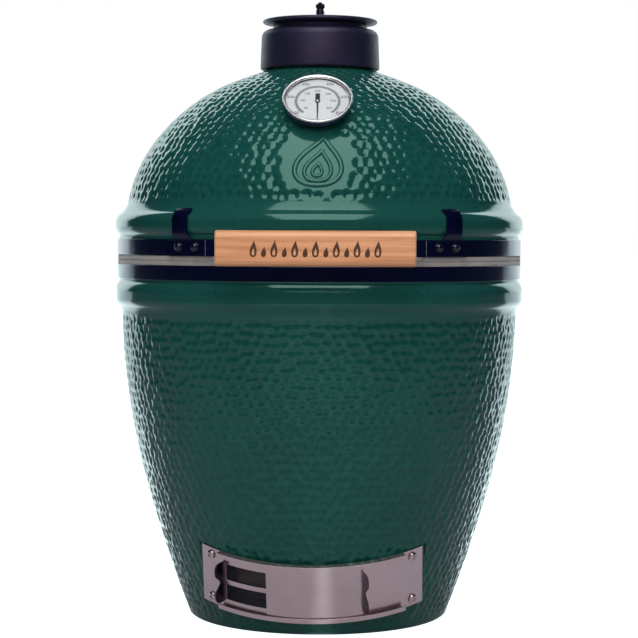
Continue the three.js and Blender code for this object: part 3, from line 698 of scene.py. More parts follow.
def pan_head(radius, height, z=0.0):
    """A domed screw head with a cross recess, standing on z."""
    arc = np.arange(0, 90, 10) * DEG
    dome = np.stack([radius * np.cos(arc), height * (0.35 + 0.65 * np.sin(arc))], 1)
    head = lathe([(0, 0), (radius, 0), *dome, (0, height)], 40)
    slot = [(-0.55 * radius, 0.55 * radius), (-0.55, 0.55)]
    arms = [block(*sides, (height - 1.6, height + 1)) for sides in (slot, slot[::-1])]
    return cut(head, *arms).moved(shifted(0, 0, z))


# ---- hollows in the glaze
PITCH = 13.0
HOLLOW_R = 7.0
NEAR = 1.4 * HOLLOW_R
HOLLOW_DEPTH = 1.9
WAVER = 0.2
WANDER_ACROSS = 0.22
WANDER_UP = 0.24
HOLLOW_SIZES = (0.85, 1.12)


def hammered(line, angle, blank=None):
    """Levels over a grid of the line's points by angles: 0 in the middle of a hollow, 1 on the crests.
    blank(across, up) says which hollows are left out, by millimetres from the front middle and up the
    line."""
    s = arc_lengths(line)
    level = np.ones((len(line), len(angle)))
    gap = PITCH * sqrt(3) / 2
    phase = 0.0
    for at in np.arange(0, s[-1] + gap, gap):
        radius = np.interp(at, s, line[:, 0])
        count = round(2 * pi * radius / PITCH)
        step = 2 * pi / count
        phase = (phase + step / 2) % step
        centre = phase + (np.arange(count) + rng.uniform(-WANDER_ACROSS, WANDER_ACROSS, count)) * step
        lift = at + rng.uniform(-WANDER_UP, WANDER_UP, count) * gap
        reach = HOLLOW_R * rng.uniform(*HOLLOW_SIZES, count)
        if blank:
            across = ((centre + pi) % (2 * pi) - pi) * radius
            reach[blank(across, lift)] = 1e-3
        near = np.flatnonzero(abs(s - at) < NEAR)
        nearest = np.round((angle - phase) / step).astype(int)
        for shift in (-1, 0, 1):
            j = (nearest + shift) % count
            turn = (angle - centre[j] + pi) % (2 * pi) - pi
            across = turn[None, :] * line[near, 0][:, None]
            up = s[near][:, None] - lift[j][None, :]
            found = np.minimum((across**2 + up**2) / reach[j] ** 2, 1)
            level[near] = np.minimum(level[near], found)
    return 1.25 * level - 0.25 * level**2


def waver(line, angle):
    """Slow unevenness of hand-pressed ceramic, 0 to 1."""
    s = arc_lengths(line)[:, None]
    total = np.zeros((len(line), len(angle)))
    for waves in range(3, 15, 2):
        total += np.sin(waves * angle + s / (160 / waves) + rng.uniform(0, 6.3)) / 6
    return (total + 1) / 2


def ceramic(before, line, after, columns, fade, blank=None):
    """A shell with hollows in the line between the other parts of its profile, and its levels."""
    profile = np.concatenate([before, line, after])
    ring = profile[profile[:, 0] > 1e-6]
    start = int((np.array(before)[:, 0] > 1e-6).sum())
    angle = circle(columns)
    level = np.ones((len(ring), columns))
    offset = np.zeros((len(ring), columns))
    normal = np.zeros((len(ring), 2))
    rows = slice(start, start + len(line))
    level[rows] = hammered(line, angle, blank)
    weight = fade(arc_lengths(line))[:, None]
    offset[rows] = ((1 - level[rows]) * HOLLOW_DEPTH + waver(line, angle) * WAVER) * weight
    level[rows] = 1 - (1 - level[rows]) * weight
    normal[rows] = side_normals(line)

    def move(radius, height, _):
        return radius - offset * normal[:, :1], height - offset * normal[:, 1:]

    shape = lathe(profile, columns, move)
    spare = len(shape.verts) - level.size
    return shape, np.concatenate([level.ravel(), np.ones(spare)])


def glazed(node, shape, level, *tools):
    """The shell with openings cut, each vertex with the level of the nearest one before the cut."""
    tree = KDTree(len(shape.verts))
    for k, v in enumerate(shape.verts):
        tree.insert(v, k)
    tree.balance()
    made = cut(shape, *tools)
    stand_in(node, made, GLAZE, values=np.array([level[tree.find(v)[1]] for v in made.verts]))


def eased(s, start, end):
    t = np.clip((s - start) / (end - start), 0, 1)
    return t * t * (3 - 2 * t)


BODY_LINE = spaced(bezier(BODY, 400), 2.7)
DOME_LINE = spaced(np.concatenate([bezier(DOME, 300), bezier(SHOULDER, 60)[1:]]), 2.4)
DOME_S = arc_lengths(DOME_LINE)
EMBLEM_Z = 617
EMBLEM_S = float(np.interp(EMBLEM_Z, DOME_LINE[:, 1], DOME_S))
COLLAR_R = 81.4


def base_shell():
    ridge = [BODY[-1], (272.3, 425.5), (275.5, 429), (RIDGE_R, 433.5), (RIDGE_R, 450), (275.8, 456.5)]
    ridge += [(272.8, 460), (RECESS_R, LOWER_BAND_Z[0]), (RECESS_R, RIM_Z - 2)]
    rim = [(RECESS_R, RIM_Z - 2), (RECESS_R, RIM_Z), (RIM_IN_R, RIM_Z), (RIM_IN_R, RIM_Z - 3)]
    wall = inner_wall(BODY, 24)
    wall = wall[wall[:, 1] > FLOOR_Z + 8][::-1]
    floor = [(wall[-1][0] - 6, FLOOR_Z), (0, FLOOR_Z)]
    after = np.concatenate([rounded(ridge, 3)[1:], rounded(rim, 1.5)[1:], wall, floor])
    before = np.concatenate([[(0, 0)], bezier(FOOT, 8)[:-1]])
    length = arc_lengths(BODY_LINE)[-1]
    fade = lambda s: eased(s, 2, 14) * eased(length - s, 1, 9)
    shape, level = ceramic(before, BODY_LINE, after, 560, fade)
    doorway = prism(sector((148, 238), (-33, 33), 1.5), -30, 30).moved(DOOR_FRAME)
    seat = prism(sector((207.7, 248), (-45, 45), 1.5), -43.5, 43.5).moved(DOOR_FRAME)
    glazed("base_shell", shape, level, doorway, seat)


def dome_shell():
    ridge = [(RIM_IN_R, DOME_RIM_Z), (RECESS_R, DOME_RIM_Z), (RECESS_R, UPPER_BAND_Z[1]), (272.8, 521)]
    ridge += [(276, 524.5), (RIDGE_R, 529), (RIDGE_R, 541.5), (274.5, 548.5), (268.5, 552.2), DOME[0]]
    chimney = [(72, 746.6), (71, 752), (71, CHIMNEY_TOP_Z), (54, CHIMNEY_TOP_Z), (54, 732), (70, 716)]
    wall = inner_wall(DOME, 24)[::-1]
    after = np.concatenate([rounded(chimney, 1.5)[1:], wall, [(RIM_IN_R, 535)]])
    before = rounded(ridge, 3)[:-1]
    top = float(np.interp(-COLLAR_R, -DOME_LINE[:, 0], DOME_S))
    fade = lambda s: eased(s, 1, 10) * eased(top - s, -2, 10)

    def blank(across, up):
        return (abs(across) / 50) ** 2.6 + (abs(up - EMBLEM_S) / 47) ** 2.6 < 1

    shape, level = ceramic(before, DOME_LINE, after, 640, fade, blank)
    glazed("dome_shell", shape, level, rod((0, 0, -60), (0, 0, 30), 5.5, 32).moved(DIAL_FRAME))


def on_dome(across, up, out):
    """Points on the dome's front, in millimetres across, up from the emblem's middle and out."""
    s = EMBLEM_S + up
    r, z = (np.interp(s, DOME_S, DOME_LINE[:, k]) for k in (0, 1))
    normals = side_normals(DOME_LINE)
    nr, nz = (np.interp(s, DOME_S, normals[:, k]) for k in (0, 1))
    return polar(r + nr * out, across / r, z + nz * out)


def flame(width, height, lean):
    """A flame's outline round its middle: a round foot, a waist and a tip that leans, anticlockwise."""
    w, h = width / 2, height / 2
    right = bezier([(0, -h), (1.5 * w, -h), (1.3 * w, 0.1 * h), (0.35 * w + lean, 0.25 * h), (lean, h)], 24)
    left = bezier([(lean, h), (lean - 0.2 * w, 0.45 * h), (-1.2 * w, 0.3 * h), (-1.6 * w, -h), (0, -h)], 24)
    return np.concatenate([right[:-1], left[:-1]])


def flame_ridge(width, height, lean, shift, stroke):
    """A rounded ridge along a flame's outline, on the dome's surface."""
    section = [(-0.5, -1.5), (-0.5, 0.5), (-0.36, 1.4), (-0.12, 1.7)]
    section += [(-a, z) for a, z in section[::-1]]
    outline = flame(width, height, lean)
    line = spaced(np.concatenate([outline, outline[:1]]), 1.2)[:-1]
    out = side_normals(np.concatenate([line[-1:], line, line[:1]]))[1:-1]
    grid = [on_dome(*(line + out * a * stroke + [0, shift]).T, z) for a, z in section]
    faces = grid_faces(len(line), len(section), True, True)
    return Shape(np.stack(grid, 1).reshape(-1, 3), faces.tolist())


def dome_emblem():
    """Three nested flames in low relief on the smooth field of the dome."""
    sizes = ((58, 70, 8, 0, 6.4), (33, 43, 6, -8, 5.4), (12, 18, 2, -14, 4.6))
    total = merged(flame_ridge(*size) for size in sizes)
    make("dome_emblem", total, GLAZE, "dome", "glaze", sharp=60, values=np.ones(len(total.verts)))


def felt_ring(node):
    """A pressed felt ring whose outer lip is a little wider and frayed."""
    z0, z1 = span(node, Z)
    low, high = (z0 - 1.8, z1) if node == "base_gasket" else (z0, z1 + 1.8)
    edge = [(FELT_R, z0), (FELT_R + 0.2, low), (FELT_R + 1.8, low), (FELT_R + 1.8, high)]
    edge += [(FELT_R + 0.2, high), (FELT_R, z1)]

    def move(radius, height, angle):
        fluff = rng.uniform(0, 0.35, radius.shape)
        return np.where(radius > FELT_R + 1, radius - fluff, radius), height

    stand_in(node, ringed([(RIM_IN_R, z0), *edge, (RIM_IN_R, z1)], 0.7, 420, move=move), FELT, sharp=80)


base_shell()
dome_shell()
dome_emblem()
felt_ring("base_gasket")
felt_ring("dome_gasket")


# ---- inside the lower shell
FIREBOX_TOP_Z = span("firebox", Z)[1]


def firebox():
    tub = [(114, FLOOR_Z + 0.3), (130, FLOOR_Z + 0.3), (133, 45), (164, 64), (199, 170)]
    tub += [(224, FIREBOX_TOP_Z), (206, FIREBOX_TOP_Z), (181, 170), (149, 88), (112, 80)]
    tub += [(84, 80), (84, 64), (116, 60)]
    holes = [block((-60, 60), (-200, -90), (20, 58))]
    holes += [rod(polar(120, a, 118), polar(220, a, 118), 9, 32) for a in circle(8) + pi / 8]
    stand_in("firebox", cut(ringed(tub, 3, 144), *holes), FIRECLAY, bevel=0.8)
    z0, z1 = span("fire_ring", Z)
    ring = ringed([(207, z0), (225, z0), (239, z1), (217, z1)], 3, 144)
    stand_in("fire_ring", ring, FIRECLAY)


def charcoal_grate():
    z0, z1 = span("charcoal_grate", Z)
    disc = lathe([(0, z0), (104, z0), (106, z0 + 2), (106, z1 - 2), (104, z1), (0, z1)], 96)
    rings = ((1, 0), (6, 36), (12, 78))
    places = [(r * cos(a), r * sin(a)) for count, r in rings for a in circle(count)]
    holes = [rod((x, y, z0 - 5), (x, y, z1 + 5), 10, 28) for x, y in places]
    stand_in("charcoal_grate", cut(disc, *holes), CAST_IRON, bevel=0.9)


def cooking_grid():
    """A round frame with bars across it and two stays below them."""
    z = sum(span("cooking_grid", Z)) / 2
    frame_r, columns, section = 226, 144, circle(12)
    verts = polar(frame_r + 3 * np.cos(section), circle(columns)[:, None], z + 3 * np.sin(section))
    total = Shape(verts.reshape(-1, 3), grid_faces(columns, len(section), True, True).tolist())
    half = lambda middle: sqrt((frame_r - 1) ** 2 - middle**2)
    for x in np.arange(-15, 16) * 14:
        total += rod((x, -half(x), z + 0.9), (x, half(x), z + 0.9), 2, 12)
    for y in (-105, 105):
        total += rod((-half(y), y, z - 0.1), (half(y), y, z - 0.1), 2.8, 14)
    stand_in("cooking_grid", total, GRID_STEEL)


firebox()
charcoal_grate()
cooking_grid()


# ---- bands and rear hinge
BAND_T = 1.8
LOWER_BOLT = (291, 472.7)
UPPER_BOLT = (288, 505.7)
BOLT_R = 3
BOLT_HOLE_R = 3.3


def bolt_hole(bolt):
    return rod((-60, *bolt), (60, *bolt), BOLT_HOLE_R, 28)


def band(name, ear_x, bolt):
    """A strap round the shell whose ends turn out into ears behind."""
    r = BAND_OUT_R - BAND_T / 2
    end = 180 - asin(ear_x / r) / DEG
    arc = polar(r, np.linspace(-end, end, 361) * DEG)[:, :2]
    ear_y = bolt[0] + 8
    left = rounded([(-ear_x, ear_y), arc[0], arc[6]], 4, 6)
    right = rounded([arc[-7], arc[-1], (ear_x, ear_y)], 4, 6)
    path = np.concatenate([left, arc[7:-7], right])
    stand_in(name, cut(strip(path, BAND_T, *span(name, Z)), bolt_hole(bolt)), BLACK_STEEL, bevel=0.45)


def pin_arc(radius, start, end, count):
    turn = np.linspace(start, end, count + 1) * DEG
    return [(HINGE.y + radius * cos(t), HINGE.z + radius * sin(t)) for t in turn]


def hinge_bracket(name, arm_x, plate_y, outline, bolt):
    """Two arms of an outline that ends in the plate's two corners, and the plate between them."""
    plate = block((-arm_x[1], arm_x[1]), plate_y, sorted(z for _, z in outline[-2:]))
    arms = [upright(outline, *arm_x), upright(outline, -arm_x[1], -arm_x[0])]
    pin_hole = rod((-60, HINGE.y, HINGE.z), (60, HINGE.y, HINGE.z), 5.3, 36)
    stand_in(name, cut(join(plate, *arms), pin_hole, bolt_hole(bolt)), BLACK_STEEL, bevel=0.5)


def hinge_brackets():
    lower = [(290, 441), *pin_arc(13, -60, 175, 24), (296, 481), (279.5, 479), (279.5, 441)]
    hinge_bracket("lower_hinge_bracket", (33, 36), (279.5, 282.5), lower, LOWER_BOLT)
    upper = [*pin_arc(12, -120, 60, 20), (296, 517), (276, 517), (276, 495)]
    hinge_bracket("upper_hinge_bracket", (28, 31), (276, 279), upper, UPPER_BOLT)


def bolts_and_nuts():
    for name, bolt, out, arm in (("lower_band", LOWER_BOLT, 38.6, 33), ("upper_band", UPPER_BOLT, 33.6, 28)):
        for side, s in SIDES:
            at = lambda x: (s * x, *bolt)
            nut_end = arm - 5.3
            shank = threaded(at(out + 1), at(nut_end - 1), BOLT_R)
            bolt_piece = join(hexagon(at(out + 4), at(out), 5.6, 0.7), shank)
            stand_in(f"{name}_bolt_{side}", bolt_piece, BLACK_BOLT)
            stand_in(f"{name}_nut_{side}", nut(at(nut_end), at(arm - 0.3), 5.6, 0.7, 3.15), BLACK_BOLT)


def hinge_pin():
    at = lambda x: (x, HINGE.y, HINGE.z)
    head = hexagon(at(-42.3), at(-36.3), 9, 1)
    shank = rod(at(-38), at(36.5), 5, 36)
    stand_in("hinge_pin", join(head, shank, threaded(at(36.2), at(45.3), 5, 1.25)), BLACK_BOLT)
    stand_in("hinge_pin_nut", nut(at(36.3), at(43.3), 9, 1, 5.15, 36), BLACK_BOLT)
    sleeve = cut(rod(at(-27.7), at(27.7), 7.5, 40, 0.8), rod(at(-33), at(33), 5.3, 36))
    stand_in("hinge_spacer", sleeve, BLACK_BOLT)


def hinge_spring(side, s):
    """A torsion spring whose legs press on the two brackets. The real one winds up as the dome opens; this
    one is made in one fixed pose, on no body.
    """
    coil_r, turns, far, near = 11, 3.5, 24, 6
    turn = np.linspace(0, 1, 160)
    a = (-90 + 360 * turns * turn) * DEG
    x = s * (far + (near - far) * turn)
    coil = np.stack([x, HINGE.y + coil_r * np.cos(a), HINGE.z + coil_r * np.sin(a)], 1)
    first = bezier([(s * far, 285, 474), (s * far, 296, 475.6), (s * far, 303, 477.2), coil[0]], 14)[:-1]
    last = bezier([coil[-1], (s * near, 304, 500.4), (s * near, 294, 501.8), (s * near, 281, 504)], 14)[1:]
    shape = tube(np.concatenate([first, coil, last]), 1.8, 12)
    name = f"hinge_spring_{side}"
    obj = make(f"{name}.look", shape, SPRING_STEEL, None, SLOT_OF[name], [name])
    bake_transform(obj)


band("lower_band", 37.3, LOWER_BOLT)
band("upper_band", 32.3, UPPER_BOLT)
hinge_brackets()
bolts_and_nuts()
hinge_pin()
for side, s in SIDES:
    hinge_spring(side, s)


# ---- handle
HANDLE_X, HANDLE_Y, HANDLE_Z = (span("handle_bar", axis) for axis in (X, Y, Z))
HANDLE_MIDDLE = (0, sum(HANDLE_Y) / 2, sum(HANDLE_Z) / 2)
BRACKET_Z = (495.5, 515.7)
BRACKET_R = 277.15
BRACKET_T = 2.5
SCREW_X = 104
SCREW_Z = HANDLE_MIDDLE[2] - 1
RIVET_Z = 506.2
RIVETS = (("outer", 39.3), ("inner", 33.8))


def rounded_box(half_y, half_z, radius, count=9):
    """A rounded rectangle round the origin, anticlockwise in Y-Z."""
    corners = np.repeat([(1, 1), (-1, 1), (-1, -1), (1, -1)], count, 0)
    t = np.concatenate([np.linspace(start, start + 90, count) for start in (0, 90, 180, 270)]) * DEG
    return corners * [half_y - radius, half_z - radius] + radius * np.stack([np.cos(t), np.sin(t)], 1)


def handle_bar():
    half = [(high - low) / 2 for low, high in (HANDLE_X, HANDLE_Y, HANDLE_Z)]
    edge = 2.6
    turn = np.linspace(0, 90, 7) * DEG
    end = [(half[0] - edge + edge * sin(t), edge * (1 - cos(t))) for t in turn]
    rings = []
    for x, inset in [(-x, inset) for x, inset in end[::-1]] + end:
        section = rounded_box(half[1] - inset, half[2] - inset, 9 - inset)
        rings.append(np.column_stack([np.full(len(section), x), section]))
    n, m = len(rings), len(rings[0])
    faces = grid_faces(n, m, False, True).tolist() + [tuple(range(m)), tuple(range((n - 1) * m, n * m))]
    bar = Shape(np.concatenate(rings), faces)
    pilots = [rod((x, half[1] - 18, -1), (x, half[1] + 5, -1), 2.3, 20) for x in (-SCREW_X, SCREW_X)]
    stand_in("handle_bar", cut(bar, *pilots).moved(shifted(*HANDLE_MIDDLE)), WOOD, sharp=50)


def handle_ornament():
    """A row of small flames burnt into the front of the handle, every other one tall and hollow."""
    tall, pitch, flames = 21, 12.6, []
    for k in range(-6, 7):
        if k % 2:
            outline = flame(6, 13, 1.2) + np.array([k * pitch, (13 - tall) / 2])
            flames.append(prism(outline, 0, 0.62))
        else:
            body = prism(flame(8.5, tall, 1.2) + np.array([k * pitch, 0]), 0, 0.62)
            hollow = prism(flame(3.4, 9.5, 0.6) + np.array([k * pitch, -3.6]), -1, 2)
            flames.append(cut(body, hollow))
    stand = shifted(0, HANDLE_Y[0] + 0.5, HANDLE_MIDDLE[2]) @ turned(90, "X")
    make("handle_ornament", merged(flames).moved(stand), BURNT, "dome", "wood", sharp=30)


def radial(outline, r0, r1):
    """An outline of (degrees, height) spread outwards from the axis."""
    shape = prism(outline, r0, r1)
    a, z, r = shape.verts.T
    return Shape(polar(r, a * DEG, z), shape.faces)


def handle_bracket(name, s):
    """A plate on the band with a hook over the dome's ridge and an arm out to the handle."""
    low, top = BRACKET_Z
    line = [(BRACKET_R, low), (BRACKET_R, 518), (279.85, 522), (279.85, 543.5), (276, 550.7), (269.6, 554.7)]
    rows = rounded(line, 3, 5)
    rows = np.concatenate([spaced(rows[:2], 2.4)[:-1], rows[1:]])
    sheet = curved_sheet(rows, (28.6, 43), BRACKET_T, 40)
    left, right, bend = 36.0, 41.2, 10
    turn = np.linspace(0, 90, 9) * DEG

    def corner(edge, reach):
        """A fillet from a side of the hook, at an angle in degrees, to the top of the plate."""
        around = edge + reach * (1 - np.sin(turn)) / BRACKET_R / DEG
        return [*zip(around, top + abs(reach) * (1 - np.cos(turn)))]

    away = [radial([(20, top), *corner(left, -bend), (left, 570), (20, 570)], 250, 300)]
    beyond = [*corner(right, 2)[::-1], (right + 3, top), (50, top), (50, 570), (right, 570)]
    away.append(radial(beyond, 250, 300))
    y = HANDLE_Y[1] + 0.3 + BRACKET_T / 2
    x = 133.5 + BRACKET_T / 2
    arm = strip(rounded([(82, y), (x, y), (x, -242)], 4, 8), BRACKET_T, *BRACKET_Z)
    holes = [rod((SCREW_X, y - 9, SCREW_Z), (SCREW_X, y + 9, SCREW_Z), 2.6, 24)]
    holes += [rod(polar(268, a * DEG, RIVET_Z), polar(290, a * DEG, RIVET_Z), 2.9, 24) for _, a in RIVETS]
    whole = cut(join(cut(sheet, *away), arm), *holes)
    stand_in(name, whole if s > 0 else mirror(whole), BLACK_STEEL, bevel=0.35)


def bracket_rivets():
    arc = np.arange(0, 90, 9) * DEG
    dome = np.stack([5.5 * np.cos(arc), 0.8 + 4.2 * np.sin(arc)], 1)
    profile = [(0, -2.7), (2.6, -2.7), (2.6, 0), (6.2, 0), (6.2, 0.5), (5.9, 0.8), *dome, (0, 5)]
    rivet = lathe(profile, 48).moved(shifted(0, -BAND_OUT_R - 0.6 - BRACKET_T, RIVET_Z) @ turned(90, "X"))
    for side, s in SIDES:
        for where, angle in RIVETS:
            stand_in(f"bracket_rivet_{side}_{where}", rivet.moved(turned(s * angle, "Z")), BLACK_BOLT)


def handle_screws():
    back = HANDLE_Y[1] + 0.6 + BRACKET_T
    screw = join(pan_head(5, 3), threaded((0, 0, -18.9), (0, 0, 0.5), 2)).moved(turned(-90, "X"))
    for side, s in SIDES:
        stand_in(f"handle_screw_{side}", screw.moved(shifted(s * SCREW_X, back, SCREW_Z)), BLACK_BOLT)


handle_bar()
handle_ornament()
for side, s in SIDES:
    handle_bracket(f"handle_bracket_{side}", s)
bracket_rivets()
handle_screws()


# ---- dial thermometer
def lettering(text, size, angle, radius):
    """Printed figures in the built-in type, with their middle at a clock angle of the dial."""
    curve = bpy.data.curves.new("figures", "FONT")
    curve.body = text
    curve.size = size
    curve.extrude = 0.15
    curve.align_x = "CENTER"
    curve.align_y = "CENTER"
    curve.resolution_u = 3
    obj = placed("figures", curve)
    made = evaluated(obj)
    with edited(made) as edit:
        bmesh.ops.remove_doubles(edit, verts=edit.verts, dist=1e-4)
    bpy.data.objects.remove(obj)
    bpy.data.curves.remove(curve)
    x, y = radius * sin(angle * DEG), radius * cos(angle * DEG)
    return taken(made, 1).moved(shifted(x, y, PRINT_Z[1] - 0.12))


PRINT_Z = (13.6, 13.92)
# The figures of both scales, as (count, step of the value, first angle, step of the angle, size, radius).
SCALES = ((6, 100, -128, 51.2, 6.6, 35.6), (7, 50, -130, 43.4, 5.2, 19.6))
SCALE_ENDS = (40, 320)


def dial_print():
    """The grey arc with its dark edge, the ticks and the figures."""
    arc = lambda r0, r1: prism(sector((r0, r1), SCALE_ENDS, 2.5), *PRINT_Z)
    grey, ink = arc(25.6, 28.0), arc(28.0, 28.5)
    for k in range(-2, 54):
        angle = -128 + 5.1 * k
        if abs(angle) <= 140:
            mark = block((-0.3, 0.3), (28.2, 30.2 if k % 10 else 31.6), PRINT_Z)
            ink += mark.moved(turned(-angle, "Z"))
    for count, value, first, step, size, radius in SCALES:
        for k in range(count):
            ink += lettering(str(value * (k + 1)), size, first + step * k, radius)
    make("dial_figures", ink.moved(DIAL_FRAME), INK, "dome", "needle_black", sharp=30)
    make("dial_scale", grey.moved(DIAL_FRAME), DIAL_GREY, "dome", "needle_black", sharp=30)


def on_dial(part, shape, material, **options):
    stand_in(f"thermometer_{part}", shape.moved(DIAL_FRAME), material, **options)


def thermometer():
    cup = [(0, 3), (34, 3), (38.5, 6), (43.6, 12), (44, 17.4), (42.4, 17.4), (42.4, 12.5), (37.2, 6.7)]
    cup += [(33.5, 4.5), (0, 4.5)]
    rim = [(43.2, 17.2), (44.6, 17.6), (45, 18.6), (44.9, 20), (44, 21), (42.2, 20.9)]
    rim += [(40.8, 20), (40.8, 17.2)]
    probe = [(0, -72), (2.2, -70), (3.2, -66), (3.2, 0.3), (9, 0.3), (9, 2.7), (0, 2.7)]
    clip = [(3.5, -26.5), (11, -26.5), (11, -25), (3.5, -25)]
    edge = lambda z, s: [(41.5, z), (41.8, z + 0.3 * s)][::s]
    disc = lambda z0, z1: lathe([(0, z0), *edge(z0, 1), *edge(z1, -1), (0, z1)], 96)
    needle = [(-0.6, -33), (0.6, -33), (1.2, 0), (2.9, 3), (2.9, 14), (-2.9, 14), (-2.9, 3), (-1.2, 0)]
    hub = lathe([(0, 14.1), (3.4, 14.1), (3.4, 14.8), (3.0, 15.2), (0, 15.2)], 48)
    rivet = lathe([(0, 15.1), (2.2, 15.1), (1.9, 15.35), (0, 15.4)], 32)
    # The case's dark colour is painted reflection and shade.
    on_dial("case", lathe(rounded(cup, 0.9, 3), 128), CASE_PAINTED_SHADE)
    make("thermometer_rim", ringed(rim, 0.5, 128).moved(DIAL_FRAME), BEZEL, "dome", "stainless")
    on_dial("dial", disc(12.8, 13.8), DIAL_WHITE)
    on_dial("lens", disc(15.5, 17), GLASS)
    dial_print()
    on_dial("needle", join(prism(needle, 14.2, 14.8), hub), INK, bevel=0.08)
    make("needle_rivet", rivet.moved(DIAL_FRAME), BEZEL, "needle", "stainless")
    on_dial("probe", lathe(rounded(probe, 0.8, 3), 48), STAINLESS)
    on_dial("clip", ringed(clip, 0.5, 48), SPRING_STEEL)


thermometer()


# ---- chimney cap and damper
VENTS = 5
COLLAR_TOP = 801.5
LID_BOTTOM = 801.8
DISC_Z = (809.8, 816)


def vents(turn, z0, z1):
    """The tools for the fan-shaped vents round the axis, turned by some degrees."""
    middles = [turn + k * 360 / VENTS for k in range(VENTS)]
    return [prism(sector((18, 52), (middle - 17, middle + 17), 2.0), z0, z1) for middle in middles]


def on_axis(z0, z1, radius, sides, chamfer=1e-3):
    return rod((0, 0, z0), (0, 0, z1), radius, sides, chamfer)


def chimney_cap():
    y, z = CAP_HINGE.y, CAP_HINGE.z
    across = lambda x0, x1, *size: rod((x0, y, z), (x1, y, z), *size)
    profile = [(74, 748.5), (80, 747.5), (81.4, 749.5), (81, 765), (79.8, 793.5), (77.6, 798.5)]
    profile += [(73, COLLAR_TOP), (57, COLLAR_TOP), (57, 793), (74, 793)]
    ears = []
    for x in ((12.5, 17.5), (-17.5, -12.5)):
        ears += [block(x, (77, y), (792, 806)), across(*x, 6.5, 40)]
    bore = across(-30, 30, 2.7, 28)
    collar = cut(join(ringed(profile, 1.6, 144, 4), *ears), bore)
    stand_in("cap_collar", collar, CAP_BLACK, bevel=0.4, sharp=45)
    z0, z1 = span("cap_gasket", Z)
    stand_in("cap_gasket", ringed([(57, z0), (70, z0), (70, z1), (57, z1)], 1, 120), FELT)

    high = span("cap_lid", Z)[1]
    lid = [(0, LID_BOTTOM), (62.8, LID_BOTTOM), (64, 803), (64, high - 1.2), (62.8, high), (0, high)]
    tongue = block((-12, 12), (60, y), (803, high - 1.5))
    whole = join(lathe(lid, 128), tongue, across(-12, 12, 6, 40))
    lid = cut(whole, bore, on_axis(790, 820, 3.3, 32), *vents(0, 790, 820))
    stand_in("cap_lid", lid, CAP_BLACK, bevel=0.5, sharp=45)
    heads = [across(x0, x1, 4, 36, 0.8) for x0, x1 in ((-22, -17.8), (17.8, 22))]
    stand_in("cap_hinge_pin", join(across(-22, 22, 2.4, 28, 0.4), *heads), BLACK_BOLT)


def damper():
    z0, z1 = DISC_Z
    profile = [(3.4, z0), (74, z0), (77.4, z0 + 1), (78.5, z0 + 3), (77.4, z1 - 1), (74, z1), (3.4, z1)]
    lever = block((-4, 4), (70, 116), (z0 + 1.2, z0 + 5))
    disc = cut(join(ringed(profile, 1.4, 160, 4), lever), *vents(36, z0 - 10, z1 + 10))
    stand_in("damper_disc", disc, CAP_BLACK, bevel=0.5, sharp=45)
    outline = rounded([(-7, 94), (7, 94), (7, 119), (-7, 119)], 4, 6, closed=True)
    pocket = block((-4.3, 4.3), (90, 116.3), (z0 + 0.9, z0 + 5.3))
    stand_in("damper_grip", cut(prism(outline, z0 - 1.5, z0 + 7.7), pocket), SILICONE, bevel=1.2)


def damper_knob():
    """The stud with its sleeve, the spring wound round it and the nut that presses on the spring."""
    nut_low, nut_high = span("damper_nut", Z)
    head = hexagon((0, 0, 796.5), (0, 0, COLLAR_TOP), 6.5, 0.8)
    thread = threaded((0, 0, 813), (0, 0, span("damper_stud", Z)[1]), 3)
    sleeve = on_axis(816.3, nut_low + 0.2, 4.7, 36)
    stand_in("damper_stud", join(head, on_axis(800, 814, 3, 28), thread, sleeve), BLACK_BOLT)
    stand_in("damper_nut", nut((0, 0, nut_low), (0, 0, nut_high), 6, 0.8, 3.2), BLACK_BOLT)
    wire_r, coil_r, turns = 1.48, 4.6, 3.9
    share = np.linspace(0, 1, 120)
    a = 2 * pi * turns * share
    z = 817.7 + (nut_low - 819.3) * share
    coil = np.stack([coil_r * np.cos(a), coil_r * np.sin(a), z], 1)
    stand_in("damper_spring", tube(coil, wire_r, 12), DARK_SPRING)


chimney_cap()
damper()
damper_knob()


# ---- draft door
DOOR_R = 208
CHANNEL = 39.5
WAY_IN = (-31.8, 0.5)
SLIDER_ENDS = (-15.6, 18.7)
SCREEN_ENDS = (-32.9, 1.8)
WINDOWS = ((-26, -3.5), (3.5, 26))


def door_part(radii, angles, heights):
    return prism(sector([DOOR_R + r for r in radii], angles, 1.2), *heights)


def in_door(shape):
    """The shape in its place, with its grain in the door's own frame, Z up the door."""
    return Shape(shape.verts, shape.faces).moved(DOOR_FRAME)


def door_pull(name, body, angle, start, lean):
    """A plate at the end of a panel that stands out from it, waisted between two lobes."""
    lobe = [(8, 2), (17, 12), (17, 23), (13, 29), (0, 29)]
    outline = rounded([(y, -z) for y, z in lobe[::-1]] + lobe, 4, 6)
    plate = upright([(-y, z) for y, z in outline][::-1], -0.8, 0.8)
    place = turned(angle, "Z") @ shifted(0, -DOOR_R - start, 0) @ turned(lean, "Z")
    # The pull's dark colour is painted shade.
    make(name, in_door(plate.moved(place)), PULL_PAINTED_SHADE, body, "stainless", bevel=0.2)


def screw_places():
    for side, s in SIDES:
        for where, h in (("lower", -1), ("upper", 1)):
            yield f"draft_screw_{side}_{where}", s * 38.7, h * 31


def draft_frame():
    outer = CHANNEL + 1.5
    parts = [door_part((0, 1.5), (-43.4, 43.4), (-outer, outer))]
    for s in (1, -1):
        for radii, low in (((0.5, 8.2), CHANNEL), ((6.7, 8.2), 34.5)):
            parts.append(door_part(radii, (-34.6, 34.6), sorted((s * low, s * outer))))
    tools = [door_part((-10, 6), WAY_IN, (-28, 28))]
    for _, angle, h in screw_places():
        tools.append(rod(polar(DOOR_R - 10, angle * DEG, h), polar(DOOR_R + 20, angle * DEG, h), 2.6, 28))
    stand_in("draft_frame", in_door(cut(join(*parts), *tools)), STAINLESS, bevel=0.35)


